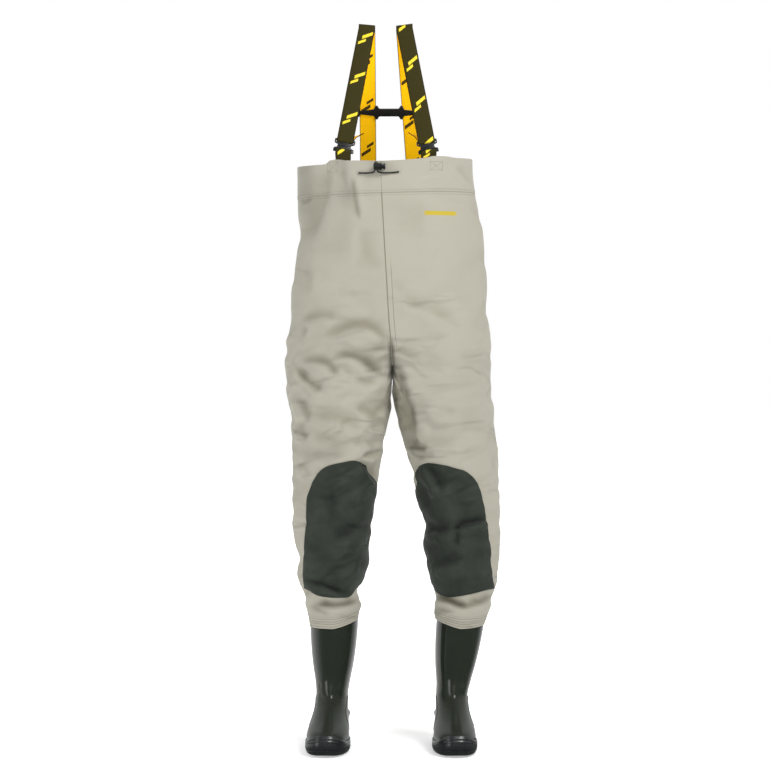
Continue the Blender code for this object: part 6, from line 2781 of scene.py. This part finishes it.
@dataclass
class Stitching:
    """Sewn rows on the chest band, its strap boxes and cord holes, and the cuffs."""

    body: Body
    pitch: float = 3.6
    thread: float = 0.42
    lift: float = 0.15
    band_rows: tuple[float, ...] = (1262.0, 1250.5)
    cuff_rows: tuple[float, ...] = (281.0, 295.0)
    holes: tuple[tuple[float, float], ...] = ((-71.0, 1299.5), (20.0, 1301.8))
    hole_half: tuple[float, float] = (4.4, 2.8)
    hole_pitch: float = 1.3
    hole_thread: float = 0.4

    def box(self, box: StitchBox) -> list[np.ndarray]:
        """Outline and cross of one box, laid on the cloth.

        Args:
            box: The box to sew.

        Returns:
            Its lines.
        """
        right, left, low, high = box[:4]
        corners = np.array([(right, low), (left, low), (left, high), (right, high)])
        runs = [np.vstack([corners, corners[:1]]), corners[[0, 2]], corners[[1, 3]]]
        return [self.body.on_cloth(even_line(run, 24), box.front, self.lift) for run in runs]

    def hole(self, middle: tuple[float, float]) -> np.ndarray:
        """Close ring of stitches round a cord hole.

        Args:
            middle: Middle of the hole as (across, up).

        Returns:
            The ring's points.
        """
        angle = np.linspace(0, 2 * math.pi, 25)
        ring = np.column_stack([np.cos(angle), np.sin(angle)]) * self.hole_half + middle
        return self.body.on_cloth(ring, True, self.lift)

    def build(self, material: bpy.types.Material) -> None:
        """Sew and dress every row.

        Args:
            material: The thread.
        """
        tree = StitchTree()
        rows = [self.body.ring_line("torso", z, self.lift) for z in self.band_rows]
        rows += [self.body.ring_line(side.word, z, self.lift) for side in Side for z in self.cuff_rows]
        rows += [line for box in STITCH_BOXES for line in self.box(box)]
        dress(tree.sew("sewn_rows", rows, material, self.pitch, self.thread), "nylon")
        holes = [self.hole(middle) for middle in self.holes]
        dress(tree.sew("cord_holes", holes, material, self.hole_pitch, self.hole_thread), "nylon")


# Studio


class Lamp(NamedTuple):
    """Soft box: where it stands, its width and height, and its power in watts."""

    name: str
    place: tuple[float, float, float]
    size: tuple[float, float]
    watts: float


LAMPS = (
    Lamp("key", (1.7, -2.4, 3.7), (1.5, 1.5), 112),
    Lamp("fill", (-3.0, -2.2, 1.5), (1.2, 2.4), 32),
    Lamp("strip", (-0.2, -4.4, 2.8), (0.25, 1.8), 8),
    Lamp("rim", (-2.6, 0.6, 0.7), (0.5, 1.8), 3),
)


@dataclass
class Studio:
    """Camera at the photograph's angle, soft light and a pale floor."""

    distance: float = 5.0
    height: float = 0.824
    middle_x: float = -0.0115
    focal_px: float = 2174.0
    image_px: float = 770.0
    sensor: float = 36.0
    aim: tuple[float, float, float] = (0.0, 0.0, 0.8)
    floor_radius: float = 30.0

    def camera(self) -> None:
        """Place a level camera in front of the waders."""
        data = bpy.data.cameras.new("photo_camera")
        data.sensor_width = self.sensor
        data.lens = self.focal_px / self.image_px * self.sensor
        data.clip_end = 60
        camera = linked("photo_camera", data)
        shift = STAND_SHIFT * MM
        camera.location = (self.middle_x + shift[0], shift[1] - self.distance, self.height)
        camera.rotation_euler = (math.pi / 2, 0, 0)
        bpy.context.scene.camera = camera

    def light(self, lamp: Lamp) -> None:
        """Add a soft box that looks at the middle of the waders.

        Args:
            lamp: The soft box.
        """
        data = bpy.data.lights.new(lamp.name, "AREA")
        data.shape = "RECTANGLE"
        data.size, data.size_y = lamp.size
        data.energy = lamp.watts
        box = linked(lamp.name, data)
        box.location = lamp.place
        box.rotation_euler = (Vector(self.aim) - Vector(lamp.place)).to_track_quat("-Z", "Y").to_euler()

    def surroundings(self) -> None:
        """White surroundings, dimmer in front, where the studio is dark."""
        world = bpy.data.worlds.new("studio")
        bpy.context.scene.world = world
        world.use_nodes = True
        tree = world.node_tree
        tree.nodes.clear()
        depth = add(tree, SPLIT, None, {0: add(tree, COORDS, out="Generated")}).node.outputs["Y"]
        spread = {"From Min": -0.5, "From Max": 0.6, "To Min": 0.16, "To Max": 0.75}
        share = add(tree, RANGE, spread, {"Value": depth})
        seen = add(tree, "ShaderNodeLightPath", out="Is Camera Ray")
        strength = add(tree, MIX, {"data_type": "FLOAT", 3: 1.0}, {0: seen, 2: share})
        glow = add(tree, "ShaderNodeBackground", {"Color": "#ffffff"}, {"Strength": strength})
        add(tree, "ShaderNodeOutputWorld", None, {"Surface": glow})

    def floor(self, material: bpy.types.Material) -> None:
        """Lay the floor, a wide disc.

        Args:
            material: The paper.
        """
        bm = bmesh.new()
        bmesh.ops.create_circle(bm, cap_ends=True, segments=96, radius=self.floor_radius)
        mesh = bpy.data.meshes.new("studio_floor")
        bm.to_mesh(mesh)
        bm.free()
        mesh.materials.append(material)
        floor = linked("studio_floor", mesh)

    def build(self) -> None:
        """Set up the whole studio."""
        bpy.context.scene.view_settings.view_transform = "Standard"
        self.camera()
        self.surroundings()
        for lamp in LAMPS:
            self.light(lamp)
        self.floor(StudioPaper().material())


def main() -> None:
    """Build every sub-assembly in order."""
    logging.basicConfig(level=logging.INFO, format="%(name)s: %(message)s")
    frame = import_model()
    Studio().build()
    nylon, patch_cloth = CoatedNylon().material(), PatchNylon().material()
    boot_pvc, sole_pvc = BootPvc().material(), SolePvc().material()
    webbing, acetal, braid = Webbing().material(), ACETAL.material(), BraidedCord().material()
    body = Body()
    braces = {side: Brace(side, body) for side in Side}
    lock = CordLock(braces[Side.RIGHT])
    for side in Side:
        cord, line = lock.cord(side, braid)
        dress(cord, "cord", "drawcord_" + side.word)
    dress(body.build(nylon), "nylon", "body")
    for side in Side:
        word = side.word
        dress(KneePatch(side, body).build(patch_cloth), "patch", "knee_patch_" + word)
        boot = Boot(side)
        dress(boot.upper(boot_pvc), "boot", "boot_upper_" + word)
        dress(boot.sole(sole_pvc), "sole", "outsole_" + word)
        dress(braces[side].webbing(webbing), "webbing", "brace_" + word)
        dress(braces[side].loop(webbing), "webbing", "anchor_loop_" + word)
        dress(braces[side].buckle_top(acetal), "plastic", "buckle_top_" + word)
        dress(braces[side].buckle_base(acetal), "plastic", "buckle_base_" + word)
    dress(BraceLink(braces[Side.RIGHT], braces[Side.LEFT]).build(acetal), "plastic", "brace_link")
    dress(lock.barrel(acetal), "plastic", "cord_lock_barrel")
    dress(lock.button(acetal), "plastic", "cord_lock_button", body="lock_button")
    Stitching(body).build(THREAD.material())
    felt = FELT.material()
    for side in Side:
        insole = frame["nodes"]["insole_" + side.word]
        insole.data.materials.clear()
        insole.data.materials.append(felt)


if __name__ == "__main__":
    main()
